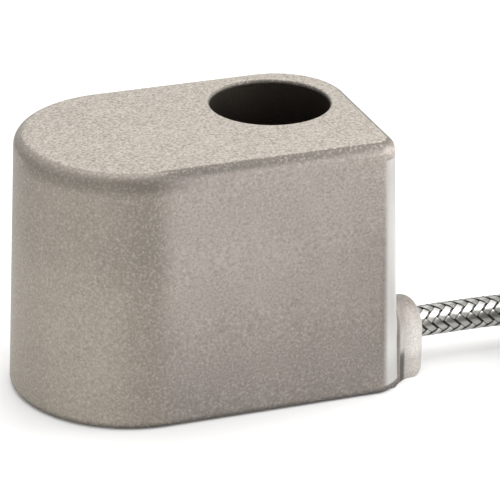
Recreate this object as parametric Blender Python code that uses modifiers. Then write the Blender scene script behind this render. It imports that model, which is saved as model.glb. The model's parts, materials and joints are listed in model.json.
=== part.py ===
"""Side-exit vibration sensor with a bolt bore and a braided cable.

Lengths are metres with +Z up. The sensor stands on its mounting face, its straight front wall faces -Y
and the cable leaves along +X. Inside the casting a shear stack stands on the base cover, in a shield can
that carries the amplifier board. The cable's spare length is wound into a tied coil.
"""

import math

import bmesh
import bpy
from mathutils import Vector

MM = 0.001
GAP = 0.3 * MM                      # clearance between pieces that touch
SLACK = 0.5 * MM                    # looser clearance where a piece is only enclosed

# Stack screw and its washer, which set the sensing post
SCREW_D = 2.5 * MM
SCREW_HEAD_D = 4.5 * MM
SCREW_HEAD_H = 2.5 * MM
SOCKET_D = 2.3 * MM
SOCKET_DEPTH = 1.3 * MM
SCREW_BITE = 2.4 * MM               # length of the screw in the cover
WASHER_D = 5.0 * MM
WASHER_T = 0.6 * MM

# Sensing post, shear plates, masses and preload ring
POST_THICKNESS = 5.0 * MM           # across the two flats
POST_WIDTH = 6.6 * MM
POST_HEIGHT = 9.1 * MM              # above the foot
POST_FOOT_T = 1.2 * MM
PLATE_T = 0.9 * MM
PLATE_WIDTH = 6.0 * MM
PLATE_HEIGHT = 7.2 * MM
RING_WALL = 0.6 * MM
RING_HEIGHT = 5.0 * MM

# Shield can and isolator
CAN_WALL = 0.3 * MM
CAN_CORNER = 1.0 * MM
CAN_WIRE_HOLE_D = 2.0 * MM
ISOLATOR_T = 1.0 * MM
ISOLATOR_LIP = 0.2 * MM             # the isolator stands this far out past the can

# Base cover
COVER_RECESS = 0.3 * MM
COVER_RIM_T = 1.5 * MM
COVER_RIM_W = 0.9 * MM              # the rim's reach past the chamber's wall
COVER_TO_CORES = 0.55 * MM          # from the cover's top up to the cable's cores
COVER_CHAMFER = 0.35 * MM

# Amplifier board
SPACER_T = 0.8 * MM
SPACER_W = 1.4 * MM
BOARD_T = 0.8 * MM
BOARD_EDGE_SPACE = 0.5 * MM
BOARD_HEADROOM = 4.4 * MM           # from the board's top to the chamber's roof
BOARD_HOLE_D = 1.4 * MM

# Chamber in the casting
CHAMBER_D = 19.6 * MM
CHAMBER_CORNER = 1.0 * MM
WIRE_SPACE = 1.6 * MM               # ring-shaped space round the can for the cable's cores
ROOF_T = 3.5 * MM

# Bolt bore
BORE_D = 14.0 * MM
BORE_EDGE = 0.35 * MM
BOLT_HOLE_D = 9.0 * MM
BOLT_HOLE_CHAMFER = 0.4 * MM
BOLT_SEAT_Z = 10.0 * MM
BORE_TO_BACK = 9.7 * MM             # bore axis to the back wall's top edge
BORE_TO_END = 9.8 * MM              # bore axis to the end wall's top edge
CHAMBER_WEB = 1.7 * MM              # metal between the bore and the chamber

# Casting
TOP_WIDTH = 26.0 * MM
DRAFT = math.radians(1.85)
FRONT_CORNER_R = 2.5 * MM
BACK_CORNER_R = 8.4 * MM
TOP_EDGE_R = 1.4 * MM
BASE_EDGE_R = 0.8 * MM

# Cable boss
BOSS_R = 3.55 * MM
BOSS_REACH = 3.9 * MM
BOSS_FLARE = 1.9 * MM               # radius of the blend into the wall
BOSS_END_R = 1.9 * MM
BOSS_FOOT_R = 0.8 * MM
CABLE_Z = 5.3 * MM
CABLE_TO_SIDE = 2.3 * MM            # cable axis to the chamber's side, so that its channel opens there

# Cable
CABLE_D = 3.8 * MM
BRAID_T = 0.65 * MM                 # braid and its bedding, from the jacket to the outside
CORE_D = 0.9 * MM
CABLE_INSERT = 6.0 * MM             # length of braid inside the boss
FERRULE_LENGTH = 4.0 * MM
SEAL_LENGTH = 5.0 * MM
SEAL_SETBACK = 1.5 * MM
JACKET_LENGTH = 13.5 * MM
CORE_SPREAD = 0.6 * MM              # each core's place in the jacket, out from the cable's axis
CORE_BEND_R = 1.8 * MM
CORE_LEAD_OUT = 2.0 * MM            # straight length of the cores past the jacket
# The cores' arch over the board's edge: distance in from where they rise and height over their landing
CORE_ARCH = ((0.9 * MM, 1.2 * MM), (1.7 * MM, 0.4 * MM), (2.4 * MM, 0.0))

# Coil of spare cable, its tie and the flying leads
COIL_TURNS_ACROSS = 6
COIL_LAYERS = 5
COIL_INNER_TURN_R = 15.5 * MM
COIL_PITCH = 3.9 * MM
COIL_LAYER_PITCH = 3.84 * MM
COIL_X = 66.0 * MM                  # coil's centre, from the middle of the casting's top
TIE_T = 0.5 * MM
TIE_WIDTH = 3.6 * MM
TIE_ANGLE = math.radians(78)
TIE_HEAD = (3.4 * MM, 5.0 * MM, 4.6 * MM)
SLEEVE_WALL = 0.3 * MM
SLEEVE_LENGTH = 12.0 * MM
SCREEN_D = 1.2 * MM
WIRE_FERRULE_D = 1.5 * MM
WIRE_FERRULE_LENGTH = 6.0 * MM

# Hook-up wires and board parts: sizes, and places from the chamber's axis or in from the board's edge
HOOKUP_D = 0.5 * MM
SHIELD_WIRE_AT = (1.4 * MM, 2.7 * MM)
AMPLIFIER_SIZE = (4.9 * MM, 3.9 * MM, 1.4 * MM)
AMPLIFIER_AT = (-1.8 * MM, -1.6 * MM)
TRANSISTOR_SIZE = (2.9 * MM, 1.4 * MM, 1.0 * MM)
TRANSISTOR_AT = (4.4 * MM, 2.4 * MM)
LEG_SIZE = (0.45 * MM, 1.6 * MM, 0.35 * MM)
COUPLING_SIZE = (3.2 * MM, 2.5 * MM, 1.6 * MM)
COUPLING_AT = (3.6 * MM, -1.4 * MM)
FEEDBACK_SIZE = (3.2 * MM, 1.6 * MM, 1.2 * MM)
FEEDBACK_TO_EDGE = 4.1 * MM
RESISTOR_SIZE = (2.0 * MM, 1.25 * MM, 0.5 * MM)
RESISTOR_TO_EDGE = 2.3 * MM
END_CAP_T = 0.06 * MM

# Details of the cable's end in its channel
CHANNEL_EDGE = 0.2 * MM
SEAL_RIBS = 3

# The cable's route, chosen by hand. Lead: distance past the boss and height, in millimetres
LEAD_ROUTE = ((5.0, 5.3), (10.0, 5.2), (15.0, 4.85), (19.5, 4.3), (23.2, 3.75))
# Tail on the coil, from the coil's centre: radius, angle in degrees, lift in millimetres
TAIL_ROUTE = ((16.0, -28, 0.0), (17.4, -58, 0.0), (19.6, -90, 0.0), (22.4, -120, 0.2), (24.6, -147, 0.6))
SLEEVE_START = (-24.15, -6.47)
SLEEVE_DIRECTION = (-0.259, 0.966)
TAIL_JACKET_ROUTE = ((-28.0, 9.2, 0.5), (-27.4, 13.2, 0.3))
LEAD_ENDS = {
    "signal": ((-28.0, 13.7), (-26.9, 18.0), (-23.4, 23.0), (-18.4, 26.6)),
    "return": ((-26.7, 13.4), (-24.7, 17.4), (-20.8, 21.2), (-15.6, 23.8)),
    "screen": ((-25.2, 6.4), (-24.2, 10.6), (-21.6, 14.8), (-17.4, 18.0), (-12.4, 20.0)),
}

OVERSHOOT = 1.0 * MM                # how far a cutter runs past the face that it opens
ALONG_X = (0.0, math.pi / 2, 0.0)

# Worked out from the inside of the stack to the outside of the casting
CHAMBER_R = CHAMBER_D / 2
CAN_R = CHAMBER_R - WIRE_SPACE
RING_R = CAN_R - CAN_WALL - SLACK
MASS_R = RING_R - RING_WALL - GAP
SCREW_HOLE_R = SCREW_D / 2 + GAP
PLATE_Y = POST_THICKNESS / 2 + GAP
MASS_Y = PLATE_Y + PLATE_T + GAP

SIGNAL_WIRE_Y = (MASS_Y + MASS_R) / 2       # over the middle of the back mass

CABLE_R = CABLE_D / 2
JACKET_D = CABLE_D - 2 * BRAID_T
JACKET_R = JACKET_D / 2
CORE_R = CORE_D / 2
COVER_RIM_TOP = COVER_RECESS + COVER_RIM_T
COVER_TOP = CABLE_Z - CORE_R - COVER_TO_CORES
ISOLATOR_Z = COVER_TOP + GAP
FOOT_Z = ISOLATOR_Z + ISOLATOR_T + GAP
PLATE_Z = FOOT_Z + POST_FOOT_T + GAP
POST_TOP = FOOT_Z + POST_FOOT_T + POST_HEIGHT
WASHER_Z = POST_TOP + GAP
HEAD_Z = WASHER_Z + WASHER_T + GAP
CAN_TOP = HEAD_Z + SCREW_HEAD_H + SLACK + CAN_WALL
SPACER_Z = CAN_TOP + GAP
BOARD_Z = SPACER_Z + SPACER_T + GAP
BOARD_TOP = BOARD_Z + BOARD_T
CHAMBER_TOP = BOARD_TOP + BOARD_HEADROOM
HEIGHT = CHAMBER_TOP + ROOF_T       # 30.8 mm

BORE_R = BORE_D / 2
BORE_Y = TOP_WIDTH / 2 - BORE_TO_BACK
CHAMBER_TO_BORE = CHAMBER_R + CHAMBER_WEB + BORE_R
CHAMBER_TO_BORE_X = math.sqrt(CHAMBER_TO_BORE ** 2 - BORE_Y ** 2)
TOP_LENGTH = TOP_WIDTH / 2 + CHAMBER_TO_BORE_X + BORE_TO_END        # 41 mm
CHAMBER_X = TOP_WIDTH / 2 - TOP_LENGTH / 2
BORE_X = CHAMBER_X + CHAMBER_TO_BORE_X
BASE_GROWTH = HEIGHT * math.tan(DRAFT)

CABLE_Y = CABLE_TO_SIDE - CHAMBER_R
CHANNEL_R = CABLE_R + GAP
BOSS_BLEND = min(BOSS_FLARE, BOSS_REACH - BOSS_END_R)       # the blend ends where the end's rounding starts
WALL_X = TOP_LENGTH / 2 + (HEIGHT - CABLE_Z) * math.tan(DRAFT)
BOSS_END_X = WALL_X + BOSS_REACH
CABLE_START_X = BOSS_END_X - CABLE_INSERT
FERRULE_X = CABLE_START_X - GAP
JACKET_END_X = FERRULE_X - JACKET_LENGTH
SEAL_X = FERRULE_X - FERRULE_LENGTH - SEAL_SETBACK
WIRE_R = CHAMBER_R - WIRE_SPACE / 2
CORE_YS = (CABLE_Y + CORE_SPREAD + CORE_R / 2, CABLE_Y - CORE_SPREAD)
CHANNEL_END_X = CHAMBER_X + math.sqrt(CHAMBER_R ** 2 - (CORE_YS[1] - CORE_R - GAP) ** 2)
BOARD_R = CHAMBER_R - BOARD_EDGE_SPACE
BOARD_FLAT_R = WIRE_R - CORE_R - 1.5 * GAP
SLEEVE_R = CABLE_R + GAP + SLEEVE_WALL

COIL_Y = CABLE_Y - COIL_INNER_TURN_R - (COIL_TURNS_ACROSS - 1) * COIL_PITCH
COIL_OUTER_R = COIL_INNER_TURN_R + (COIL_TURNS_ACROSS - 1) * COIL_PITCH + CABLE_R + GAP / 3
COIL_INNER_R = COIL_INNER_TURN_R - CABLE_R - GAP / 3
COIL_Z = TIE_T + GAP
COIL_HEIGHT = (COIL_LAYERS - 1) * COIL_LAYER_PITCH + CABLE_D + 2 * GAP / 3
COIL_TOP = COIL_Z + COIL_HEIGHT

CHAMBER_AT = (CHAMBER_X, 0.0, 0.0)

# The frame's origin is under the middle of the casting's bounding box, whose widest line is just over
# the rounded base edge
WIDEST = (HEIGHT - BASE_EDGE_R) * math.tan(DRAFT)
ORIGIN_X = (BOSS_END_X - TOP_LENGTH / 2 - WIDEST) / 2

COLOURS = {
    "cast_steel": ((0.50, 0.46, 0.42), 0.55, 1.0),
    "machined_steel": ((0.62, 0.61, 0.59), 0.3, 1.0),
    "ceramic": ((0.88, 0.87, 0.83), 0.45, 0.0),
    "piezo": ((0.66, 0.58, 0.43), 0.6, 0.0),
    "tungsten": ((0.36, 0.36, 0.38), 0.35, 1.0),
    "tinned": ((0.72, 0.72, 0.70), 0.35, 1.0),
    "board": ((0.05, 0.22, 0.10), 0.5, 0.0),
    "chip": ((0.04, 0.04, 0.045), 0.45, 0.0),
    "capacitor": ((0.60, 0.44, 0.28), 0.5, 0.0),
    "polymer": ((0.72, 0.64, 0.50), 0.5, 0.0),
    "seal": ((0.10, 0.10, 0.11), 0.7, 0.0),
    "jacket": ((0.82, 0.82, 0.80), 0.45, 0.0),
    "red": ((0.60, 0.05, 0.04), 0.45, 0.0),
    "black": ((0.03, 0.03, 0.03), 0.45, 0.0),
    "braid": ((0.58, 0.57, 0.54), 0.35, 1.0),
}


def clear_scene():
    for obj in list(bpy.data.objects):
        bpy.data.objects.remove(obj, do_unlink=True)


def new_collection(name):
    collection = bpy.data.collections.new(name)
    bpy.context.scene.collection.children.link(collection)
    return collection


def material(name):
    if name in bpy.data.materials:
        return bpy.data.materials[name]
    colour, roughness, metallic = COLOURS[name]
    made = bpy.data.materials.new(name)
    made.use_nodes = True
    shader = made.node_tree.nodes["Principled BSDF"]
    shader.inputs["Base Color"].default_value = (*colour, 1.0)
    shader.inputs["Roughness"].default_value = roughness
    shader.inputs["Metallic"].default_value = metallic
    made.diffuse_color = (*colour, 1.0)
    return made


def place(name, data, finish, at=(0.0, 0.0, 0.0)):
    """One object for one piece, on the sensor's empty."""
    obj = bpy.data.objects.new(name, data)
    obj.location = at
    obj.parent = frame_empty
    if finish is None:
        cutters.objects.link(obj)
        obj.hide_render = True
        obj.display_type = "WIRE"
    else:
        pieces.objects.link(obj)
        data.materials.append(material(finish))
    return obj


def mesh_from(name, bm, smooth=True):
    """Mesh data from a bmesh, its faces turned outwards."""
    bmesh.ops.recalc_face_normals(bm, faces=bm.faces)
    mesh = bpy.data.meshes.new(name)
    bm.to_mesh(mesh)
    bm.free()
    if smooth:
        mesh.shade_smooth()
        mesh.set_sharp_from_angle(angle=math.radians(35))
    return mesh


def arc(cx, cy, radius, start, end, steps):
    """Points of a circle's arc, both ends included, angles in degrees."""
    angles = [math.radians(start + (end - start) * i / steps) for i in range(steps + 1)]
    return [(cx + radius * math.cos(a), cy + radius * math.sin(a)) for a in angles]


def turned(name, profile, finish, at=(0.0, 0.0, 0.0), steps=48):
    """A turned piece. The profile's (radius, height) points run down the outer side from the top."""
    bm = bmesh.new()
    verts = [bm.verts.new((radius, 0.0, height)) for radius, height in profile]
    for first, second in zip(verts, verts[1:]):
        bm.edges.new((first, second))
    if profile[0][0] > 0:
        bm.edges.new((verts[-1], verts[0]))
    mesh = bpy.data.meshes.new(name)
    bm.to_mesh(mesh)
    bm.free()
    obj = place(name, mesh, finish, at)
    screw = obj.modifiers.new("turn", "SCREW")
    screw.steps = screw.render_steps = steps
    screw.use_merge_vertices = True
    screw.merge_threshold = 0.00001
    screw.use_smooth_shade = True
    return obj


def disc(name, radius, low, high, finish, at=(0.0, 0.0, 0.0), steps=40):
    return turned(name, [(0.0, high), (radius, high), (radius, low), (0.0, low)], finish, at, steps)


def sleeve(name, inner, outer, low, high, finish, at=(0.0, 0.0, 0.0), steps=40):
    return turned(name, [(inner, high), (outer, high), (outer, low), (inner, low)], finish, at, steps)


def combine(obj, other, operation):
    modifier = obj.modifiers.new(f"{operation.lower()} {other.name}", "BOOLEAN")
    modifier.operation = operation
    modifier.solver = "EXACT"
    modifier.object = other


def loft(name, rings, finish, at=(0.0, 0.0, 0.0)):
    """A closed skin through rings of equally many points."""
    bm = bmesh.new()
    loops = []
    for ring in rings:
        verts = [bm.verts.new(point) for point in ring]
        loops.append([bm.edges.new(pair) for pair in zip(verts, verts[1:] + verts[:1])])
    for lower, upper in zip(loops, loops[1:]):
        bmesh.ops.bridge_loops(bm, edges=lower + upper)
    for end in (loops[0], loops[-1]):
        bmesh.ops.edgeloop_fill(bm, edges=end)
    return place(name, mesh_from(name, bm), finish, at)


def smooth_route(points, spacing):
    """Evenly spaced points on a smooth curve through the given ones."""
    knots = [Vector(p) for p in points]
    ends = [2 * knots[0] - knots[1], *knots, 2 * knots[-1] - knots[-2]]
    fine = []
    for p0, p1, p2, p3 in zip(ends, ends[1:], ends[2:], ends[3:]):
        for i in range(24):
            t = i / 24
            fine.append(0.5 * (2 * p1 + (p2 - p0) * t + (2 * p0 - 5 * p1 + 4 * p2 - p3) * t ** 2
                               + (3 * p1 - p0 - 3 * p2 + p3) * t ** 3))
    fine.append(knots[-1])
    lengths = [0.0]
    for a, b in zip(fine, fine[1:]):
        lengths.append(lengths[-1] + (b - a).length)
    count = max(2, round(lengths[-1] / spacing))
    route, k = [], 0
    for i in range(count + 1):
        target = lengths[-1] * i / count
        while k < len(fine) - 2 and lengths[k + 1] < target:
            k += 1
        share = (target - lengths[k]) / (lengths[k + 1] - lengths[k])
        route.append(fine[k].lerp(fine[k + 1], min(share, 1.0)))
    return route


def tube(name, points, diameter, finish, spacing):
    """A round wire or cable along a smooth route."""
    route = smooth_route(points, spacing)
    curve = bpy.data.curves.new(name, "CURVE")
    curve.dimensions = "3D"
    spline = curve.splines.new("POLY")
    spline.points.add(len(route) - 1)
    for point, place_on_route in zip(spline.points, route):
        point.co = (*place_on_route, 1.0)
    spline.use_smooth = True
    curve.bevel_depth = diameter / 2
    curve.bevel_resolution = 2
    curve.use_fill_caps = True
    return place(name, curve, finish)


def plate(name, outlines, thickness, finish, at=(0.0, 0.0, 0.0), turn=(0.0, 0.0, 0.0)):
    """A flat piece from closed outlines, the first outside and the others holes, about its mid-plane."""
    curve = bpy.data.curves.new(name, "CURVE")
    curve.dimensions = "2D"
    curve.fill_mode = "BOTH"
    curve.extrude = thickness / 2
    for outline in outlines:
        spline = curve.splines.new("POLY")
        spline.points.add(len(outline) - 1)
        for point, (x, y) in zip(spline.points, outline):
            point.co = (x, y, 0.0, 1.0)
        spline.use_cyclic_u = True
    obj = place(name, curve, finish, at)
    obj.rotation_euler = turn
    return obj


def as_mesh(obj, finish):
    """The same piece as a welded mesh, so that it can be cut or joined."""
    bpy.context.view_layer.update()
    name, turn, at = obj.name, obj.rotation_euler.copy(), obj.location.copy()
    evaluated = obj.evaluated_get(bpy.context.evaluated_depsgraph_get())
    bm = bmesh.new()
    bm.from_mesh(bpy.data.meshes.new_from_object(evaluated))
    bpy.data.objects.remove(obj, do_unlink=True)
    bmesh.ops.remove_doubles(bm, verts=bm.verts, dist=0.000001)
    made = place(name, mesh_from(name, bm, smooth=False), finish, at)
    made.rotation_euler = turn
    return made


def block(name, size, finish, at=(0.0, 0.0, 0.0), edge=0.0):
    """A box with its bevelled edges, about its middle."""
    bm = bmesh.new()
    bmesh.ops.create_cube(bm, size=1.0)
    bmesh.ops.scale(bm, vec=size, verts=bm.verts)
    if edge > 0:
        bmesh.ops.bevel(bm, geom=list(bm.edges), offset=edge, segments=1, affect="EDGES")
    return place(name, mesh_from(name, bm, smooth=False), finish, at)


def wall_outline(growth, z):
    """The casting's plan outline, offset outwards by the draft."""
    half_l, half_w = TOP_LENGTH / 2, TOP_WIDTH / 2
    corners = (
        arc(CHAMBER_X, 0.0, half_w + growth, 90, 270, 44),
        arc(half_l - FRONT_CORNER_R, FRONT_CORNER_R - half_w, FRONT_CORNER_R + growth, -90, 0, 8),
        arc(half_l - BACK_CORNER_R, half_w - BACK_CORNER_R, BACK_CORNER_R + growth, 0, 90, 16),
    )
    return [(x, y, z) for corner in corners for x, y in corner]


def cast_body():
    body = loft("housing", [wall_outline(BASE_GROWTH, 0.0), wall_outline(0.0, HEIGHT)], "cast_steel")
    bm = bmesh.new()
    bm.from_mesh(body.data)
    for z, radius, segments in ((HEIGHT, TOP_EDGE_R, 6), (0.0, BASE_EDGE_R, 3)):
        rim = [e for e in bm.edges if all(abs(v.co.z - z) < GAP / 10 for v in e.verts)]
        bmesh.ops.bevel(bm, geom=rim, offset=radius, segments=segments, profile=0.5, affect="EDGES")
    bmesh.ops.recalc_face_normals(bm, faces=bm.faces)
    bm.to_mesh(body.data)
    bm.free()
    body.data.shade_smooth()
    body.data.set_sharp_from_angle(angle=math.radians(35))
    return body


def wall_lean(y, z):
    """How far the drafted end wall, with its front corner, lies from its place at the cable's axis."""
    growth = (HEIGHT - z) * math.tan(DRAFT)
    corner_y = FRONT_CORNER_R - TOP_WIDTH / 2
    radius = FRONT_CORNER_R + growth
    past_corner = min(max(corner_y - y, 0.0), radius)
    return TOP_LENGTH / 2 + growth - radius + math.sqrt(radius ** 2 - past_corner ** 2) - WALL_X


def boss_section(x, growth, lean):
    """The boss's tombstone outline: round over the cable, straight down to the base."""
    radius = BOSS_R + growth
    foot = max(0.0, -growth)
    corner = BOSS_FOOT_R
    points = arc(CABLE_Y, CABLE_Z, radius, 0, 180, 20)
    points += arc(CABLE_Y - radius + corner, foot + corner, corner, 180, 270, 3)
    points += arc(CABLE_Y + radius - corner, foot + corner, corner, 270, 360, 3)
    front = [-TOP_WIDTH / 2 - (HEIGHT - z) * math.tan(DRAFT) for y, z in points]
    points = [(max(y, limit + GAP), z) for (y, z), limit in zip(points, front)]
    return [(x + lean * wall_lean(y, z), y, z) for y, z in points]


def cable_boss():
    """The boss, from inside the wall over its blended root to its rounded end."""
    steps = 6
    sections = [boss_section(WALL_X - BOSS_REACH, BOSS_BLEND, 0.0)]
    for i in range(steps + 1):
        angle = math.radians(90 * i / steps)
        out, growth = BOSS_BLEND * (1 - math.cos(angle)), BOSS_BLEND * (1 - math.sin(angle))
        sections.append(boss_section(WALL_X + out, growth, 1.0 - i / steps))
    for i in range(steps + 1):
        angle = math.radians(90 * i / steps)
        back, shrink = BOSS_END_R * (1 - math.sin(angle)), BOSS_END_R * (1 - math.cos(angle))
        sections.append(boss_section(BOSS_END_X - back, -shrink, 0.0))
    return loft("boss_form", sections, None)


def bore_cutter():
    """Counterbore for the bolt's head and the hole for its shank."""
    hole_r = BOLT_HOLE_D / 2
    mouth_r = BORE_R + BORE_EDGE
    profile = [(0.0, HEIGHT + OVERSHOOT), (mouth_r, HEIGHT + OVERSHOOT)]
    profile += arc(mouth_r, HEIGHT - BORE_EDGE, BORE_EDGE, 90, 180, 3)
    profile += [
        (BORE_R, BOLT_SEAT_Z),
        (hole_r + BOLT_HOLE_CHAMFER, BOLT_SEAT_Z),
        (hole_r, BOLT_SEAT_Z - BOLT_HOLE_CHAMFER),
        (hole_r, BOLT_HOLE_CHAMFER),
        (hole_r + BOLT_HOLE_CHAMFER, 0.0),
        (hole_r + BOLT_HOLE_CHAMFER, -OVERSHOOT),
        (0.0, -OVERSHOOT),
    ]
    return turned("bore_form", profile, None, at=(BORE_X, BORE_Y, 0.0), steps=72)


def chamber_cutter():
    """Sensor chamber with the shoulder that the base cover seats on."""
    shoulder = COVER_RIM_TOP + GAP
    profile = [(0.0, CHAMBER_TOP)]
    profile += arc(CHAMBER_R - CHAMBER_CORNER, CHAMBER_TOP - CHAMBER_CORNER, CHAMBER_CORNER, 90, 0, 3)
    profile += [
        (CHAMBER_R, shoulder),
        (CHAMBER_R + COVER_RIM_W, shoulder),
        (CHAMBER_R + COVER_RIM_W, -OVERSHOOT),
        (0.0, -OVERSHOOT),
    ]
    return turned("chamber_form", profile, None, at=(CHAMBER_X, 0.0, 0.0), steps=56)


def channel_cutter():
    """Drilled channel from the boss's end face into the chamber, along the cable's axis."""
    length = BOSS_END_X - CHANNEL_END_X
    mouth_r = CHANNEL_R + CHANNEL_EDGE
    profile = [
        (0.0, length + OVERSHOOT),
        (mouth_r, length + OVERSHOOT),
        (mouth_r, length),
        (CHANNEL_R, length - CHANNEL_EDGE),
        (CHANNEL_R, 0.0),
        (0.0, 0.0),
    ]
    cutter = turned("channel_form", profile, None, at=(CHANNEL_END_X, CABLE_Y, CABLE_Z), steps=32)
    cutter.rotation_euler = ALONG_X
    return cutter


def housing():
    body = cast_body()
    combine(body, cable_boss(), "UNION")
    combine(body, bore_cutter(), "DIFFERENCE")
    combine(body, chamber_cutter(), "DIFFERENCE")
    combine(body, channel_cutter(), "DIFFERENCE")


def base_cover():
    """Stepped plug: its rim seats on the casting's shoulder, its middle is tapped for the stack screw."""
    tapped_end = COVER_TOP - SCREW_BITE - GAP
    plug_r = CHAMBER_R - GAP
    rim_r = CHAMBER_R + COVER_RIM_W - GAP
    profile = [
        (0.0, tapped_end),
        (SCREW_HOLE_R, tapped_end),
        (SCREW_HOLE_R, COVER_TOP),
        (plug_r - COVER_CHAMFER, COVER_TOP),
        (plug_r, COVER_TOP - COVER_CHAMFER),
        (plug_r, COVER_RIM_TOP),
        (rim_r, COVER_RIM_TOP),
        (rim_r, COVER_RECESS + COVER_CHAMFER),
        (rim_r - COVER_CHAMFER, COVER_RECESS),
        (0.0, COVER_RECESS),
    ]
    turned("base_cover", profile, "machined_steel", at=CHAMBER_AT, steps=56)


def sensing_post():
    """Foot and two-flatted post in one piece, drilled for the screw."""
    foot_top = FOOT_Z + POST_FOOT_T
    post = disc("sensing_post", MASS_R, FOOT_Z, foot_top, "machined_steel", at=CHAMBER_AT)
    root = FOOT_Z + POST_FOOT_T / 2
    middle = (CHAMBER_X, 0.0, (root + POST_TOP) / 2)
    shaft = block("post_form", (POST_WIDTH, POST_THICKNESS, POST_TOP - root), None, middle, GAP)
    hole = disc("post_hole_form", SCREW_HOLE_R, FOOT_Z - OVERSHOOT, POST_TOP + OVERSHOOT, None,
                at=CHAMBER_AT, steps=24)
    combine(post, shaft, "UNION")
    combine(post, hole, "DIFFERENCE")


def shear_stack():
    """Plates on the post's flats, masses outside them and the ring that clamps all to the post."""
    middle_z = PLATE_Z + PLATE_HEIGHT / 2
    flat_angle = math.degrees(math.asin(MASS_Y / MASS_R))
    segment = arc(0.0, 0.0, MASS_R, flat_angle, 180 - flat_angle, 20)
    for side, turn in (("front", math.pi), ("back", 0.0)):
        sign = -1 if side == "front" else 1
        plate_at = (CHAMBER_X, sign * (PLATE_Y + PLATE_T / 2), middle_z)
        block(f"piezo_plate_{side}", (PLATE_WIDTH, PLATE_T, PLATE_HEIGHT), "piezo", plate_at)
        plate(f"seismic_mass_{side}", [segment], PLATE_HEIGHT, "tungsten",
              at=(CHAMBER_X, 0.0, middle_z), turn=(0.0, 0.0, turn))
    sleeve("preload_ring", RING_R - RING_WALL, RING_R, middle_z - RING_HEIGHT / 2,
           middle_z + RING_HEIGHT / 2, "machined_steel", at=CHAMBER_AT)


def stack_screw():
    """Socket head screw from above the washer into the cover."""
    head_top = HEAD_Z + SCREW_HEAD_H
    head_r = SCREW_HEAD_D / 2
    profile = [
        (0.0, head_top),
        (head_r - GAP, head_top),
        (head_r, head_top - GAP),
        (head_r, HEAD_Z),
        (SCREW_D / 2, HEAD_Z),
        (SCREW_D / 2, COVER_TOP - SCREW_BITE + GAP),
        (SCREW_D / 2 - GAP, COVER_TOP - SCREW_BITE),
        (0.0, COVER_TOP - SCREW_BITE),
    ]
    screw = turned("stack_screw", profile, "machined_steel", at=CHAMBER_AT, steps=24)
    socket = disc("socket_form", SOCKET_D / 2, head_top - SOCKET_DEPTH, head_top + OVERSHOOT, None,
                  at=CHAMBER_AT, steps=6)
    combine(screw, socket, "DIFFERENCE")


def shield_can():
    """Drawn can, open at the isolator, with a hole for the signal wire in its top."""
    low = ISOLATOR_Z + ISOLATOR_T + GAP
    inner_corner = CAN_CORNER - CAN_WALL
    profile = [(0.0, CAN_TOP)]
    profile += arc(CAN_R - CAN_CORNER, CAN_TOP - CAN_CORNER, CAN_CORNER, 90, 0, 3)
    profile += [(CAN_R, low), (CAN_R - CAN_WALL, low)]
    profile += arc(CAN_R - CAN_CORNER, CAN_TOP - CAN_CORNER, inner_corner, 0, 90, 3)
    profile += [(0.0, CAN_TOP - CAN_WALL)]
    can = turned("shield_can", profile, "tinned", at=CHAMBER_AT, steps=44)
    hole = disc("can_hole_form", CAN_WIRE_HOLE_D / 2, CAN_TOP - CAN_CORNER, CAN_TOP + OVERSHOOT, None,
                at=(CHAMBER_X, SIGNAL_WIRE_Y, 0.0), steps=20)
    combine(can, hole, "DIFFERENCE")


def core_rises():
    """Where the two cores stand between the can and the chamber's wall, from the chamber's axis."""
    return [(math.sqrt(WIRE_R ** 2 - y ** 2), y) for y in CORE_YS]


def circuit_board():
    """Round board, cut straight on the side where the cable's cores come up."""
    angles = [math.degrees(math.atan2(y, x)) for x, y in core_rises()]
    middle = sum(angles) / len(angles)
    half = math.degrees(math.acos(BOARD_FLAT_R / BOARD_R))
    outline = arc(0.0, 0.0, BOARD_R, middle + half, middle - half + 360, 48)
    holes = [arc(x, y, BOARD_HOLE_D / 2, 0, 345, 15) for x, y in ((0.0, SIGNAL_WIRE_Y), SHIELD_WIRE_AT)]
    plate("circuit_board", [outline, *holes], BOARD_T, "board", at=(CHAMBER_X, 0.0, BOARD_Z + BOARD_T / 2))


def chip(name, size, finish, at, legs=0):
    """A moulded amplifier part on the board, with a row of legs on each long side."""
    length, width, height = size
    middle = (CHAMBER_X + at[0], at[1], BOARD_TOP + GAP + height / 2)
    body = block(name, size, finish, middle, GAP / 2)
    for side in (-1, 1):
        for i in range(legs):
            x = length * ((i + 0.5) / legs - 0.5)
            foot = (middle[0] + x, middle[1] + side * width / 2, BOARD_TOP + GAP + LEG_SIZE[2] / 2)
            combine(body, block(f"{name}_leg_form", LEG_SIZE, None, foot), "UNION")


def end_capped(name, size, finish, at, turn=0.0):
    """A ceramic capacitor or resistor with its soldered end caps."""
    length, width, height = size
    middle = Vector((CHAMBER_X + at[0], at[1], BOARD_TOP + GAP + END_CAP_T + height / 2))
    body = block(name, size, finish, middle)
    body.rotation_euler = (0.0, 0.0, turn)
    cap_size = (length / 4, width + 2 * END_CAP_T, height + 2 * END_CAP_T)
    for end in (-1, 1):
        out = end * length / 2
        offset = Vector((out * math.cos(turn), out * math.sin(turn), 0.0))
        cap = block(f"{name}_cap_form", cap_size, None, middle + offset)
        cap.rotation_euler = (0.0, 0.0, turn)
        combine(body, cap, "UNION")


def from_edge(distance, angle):
    """A place on the board, so far in from its round edge, at that angle in degrees."""
    out = math.radians(angle)
    return ((BOARD_R - distance) * math.cos(out), (BOARD_R - distance) * math.sin(out))


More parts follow.
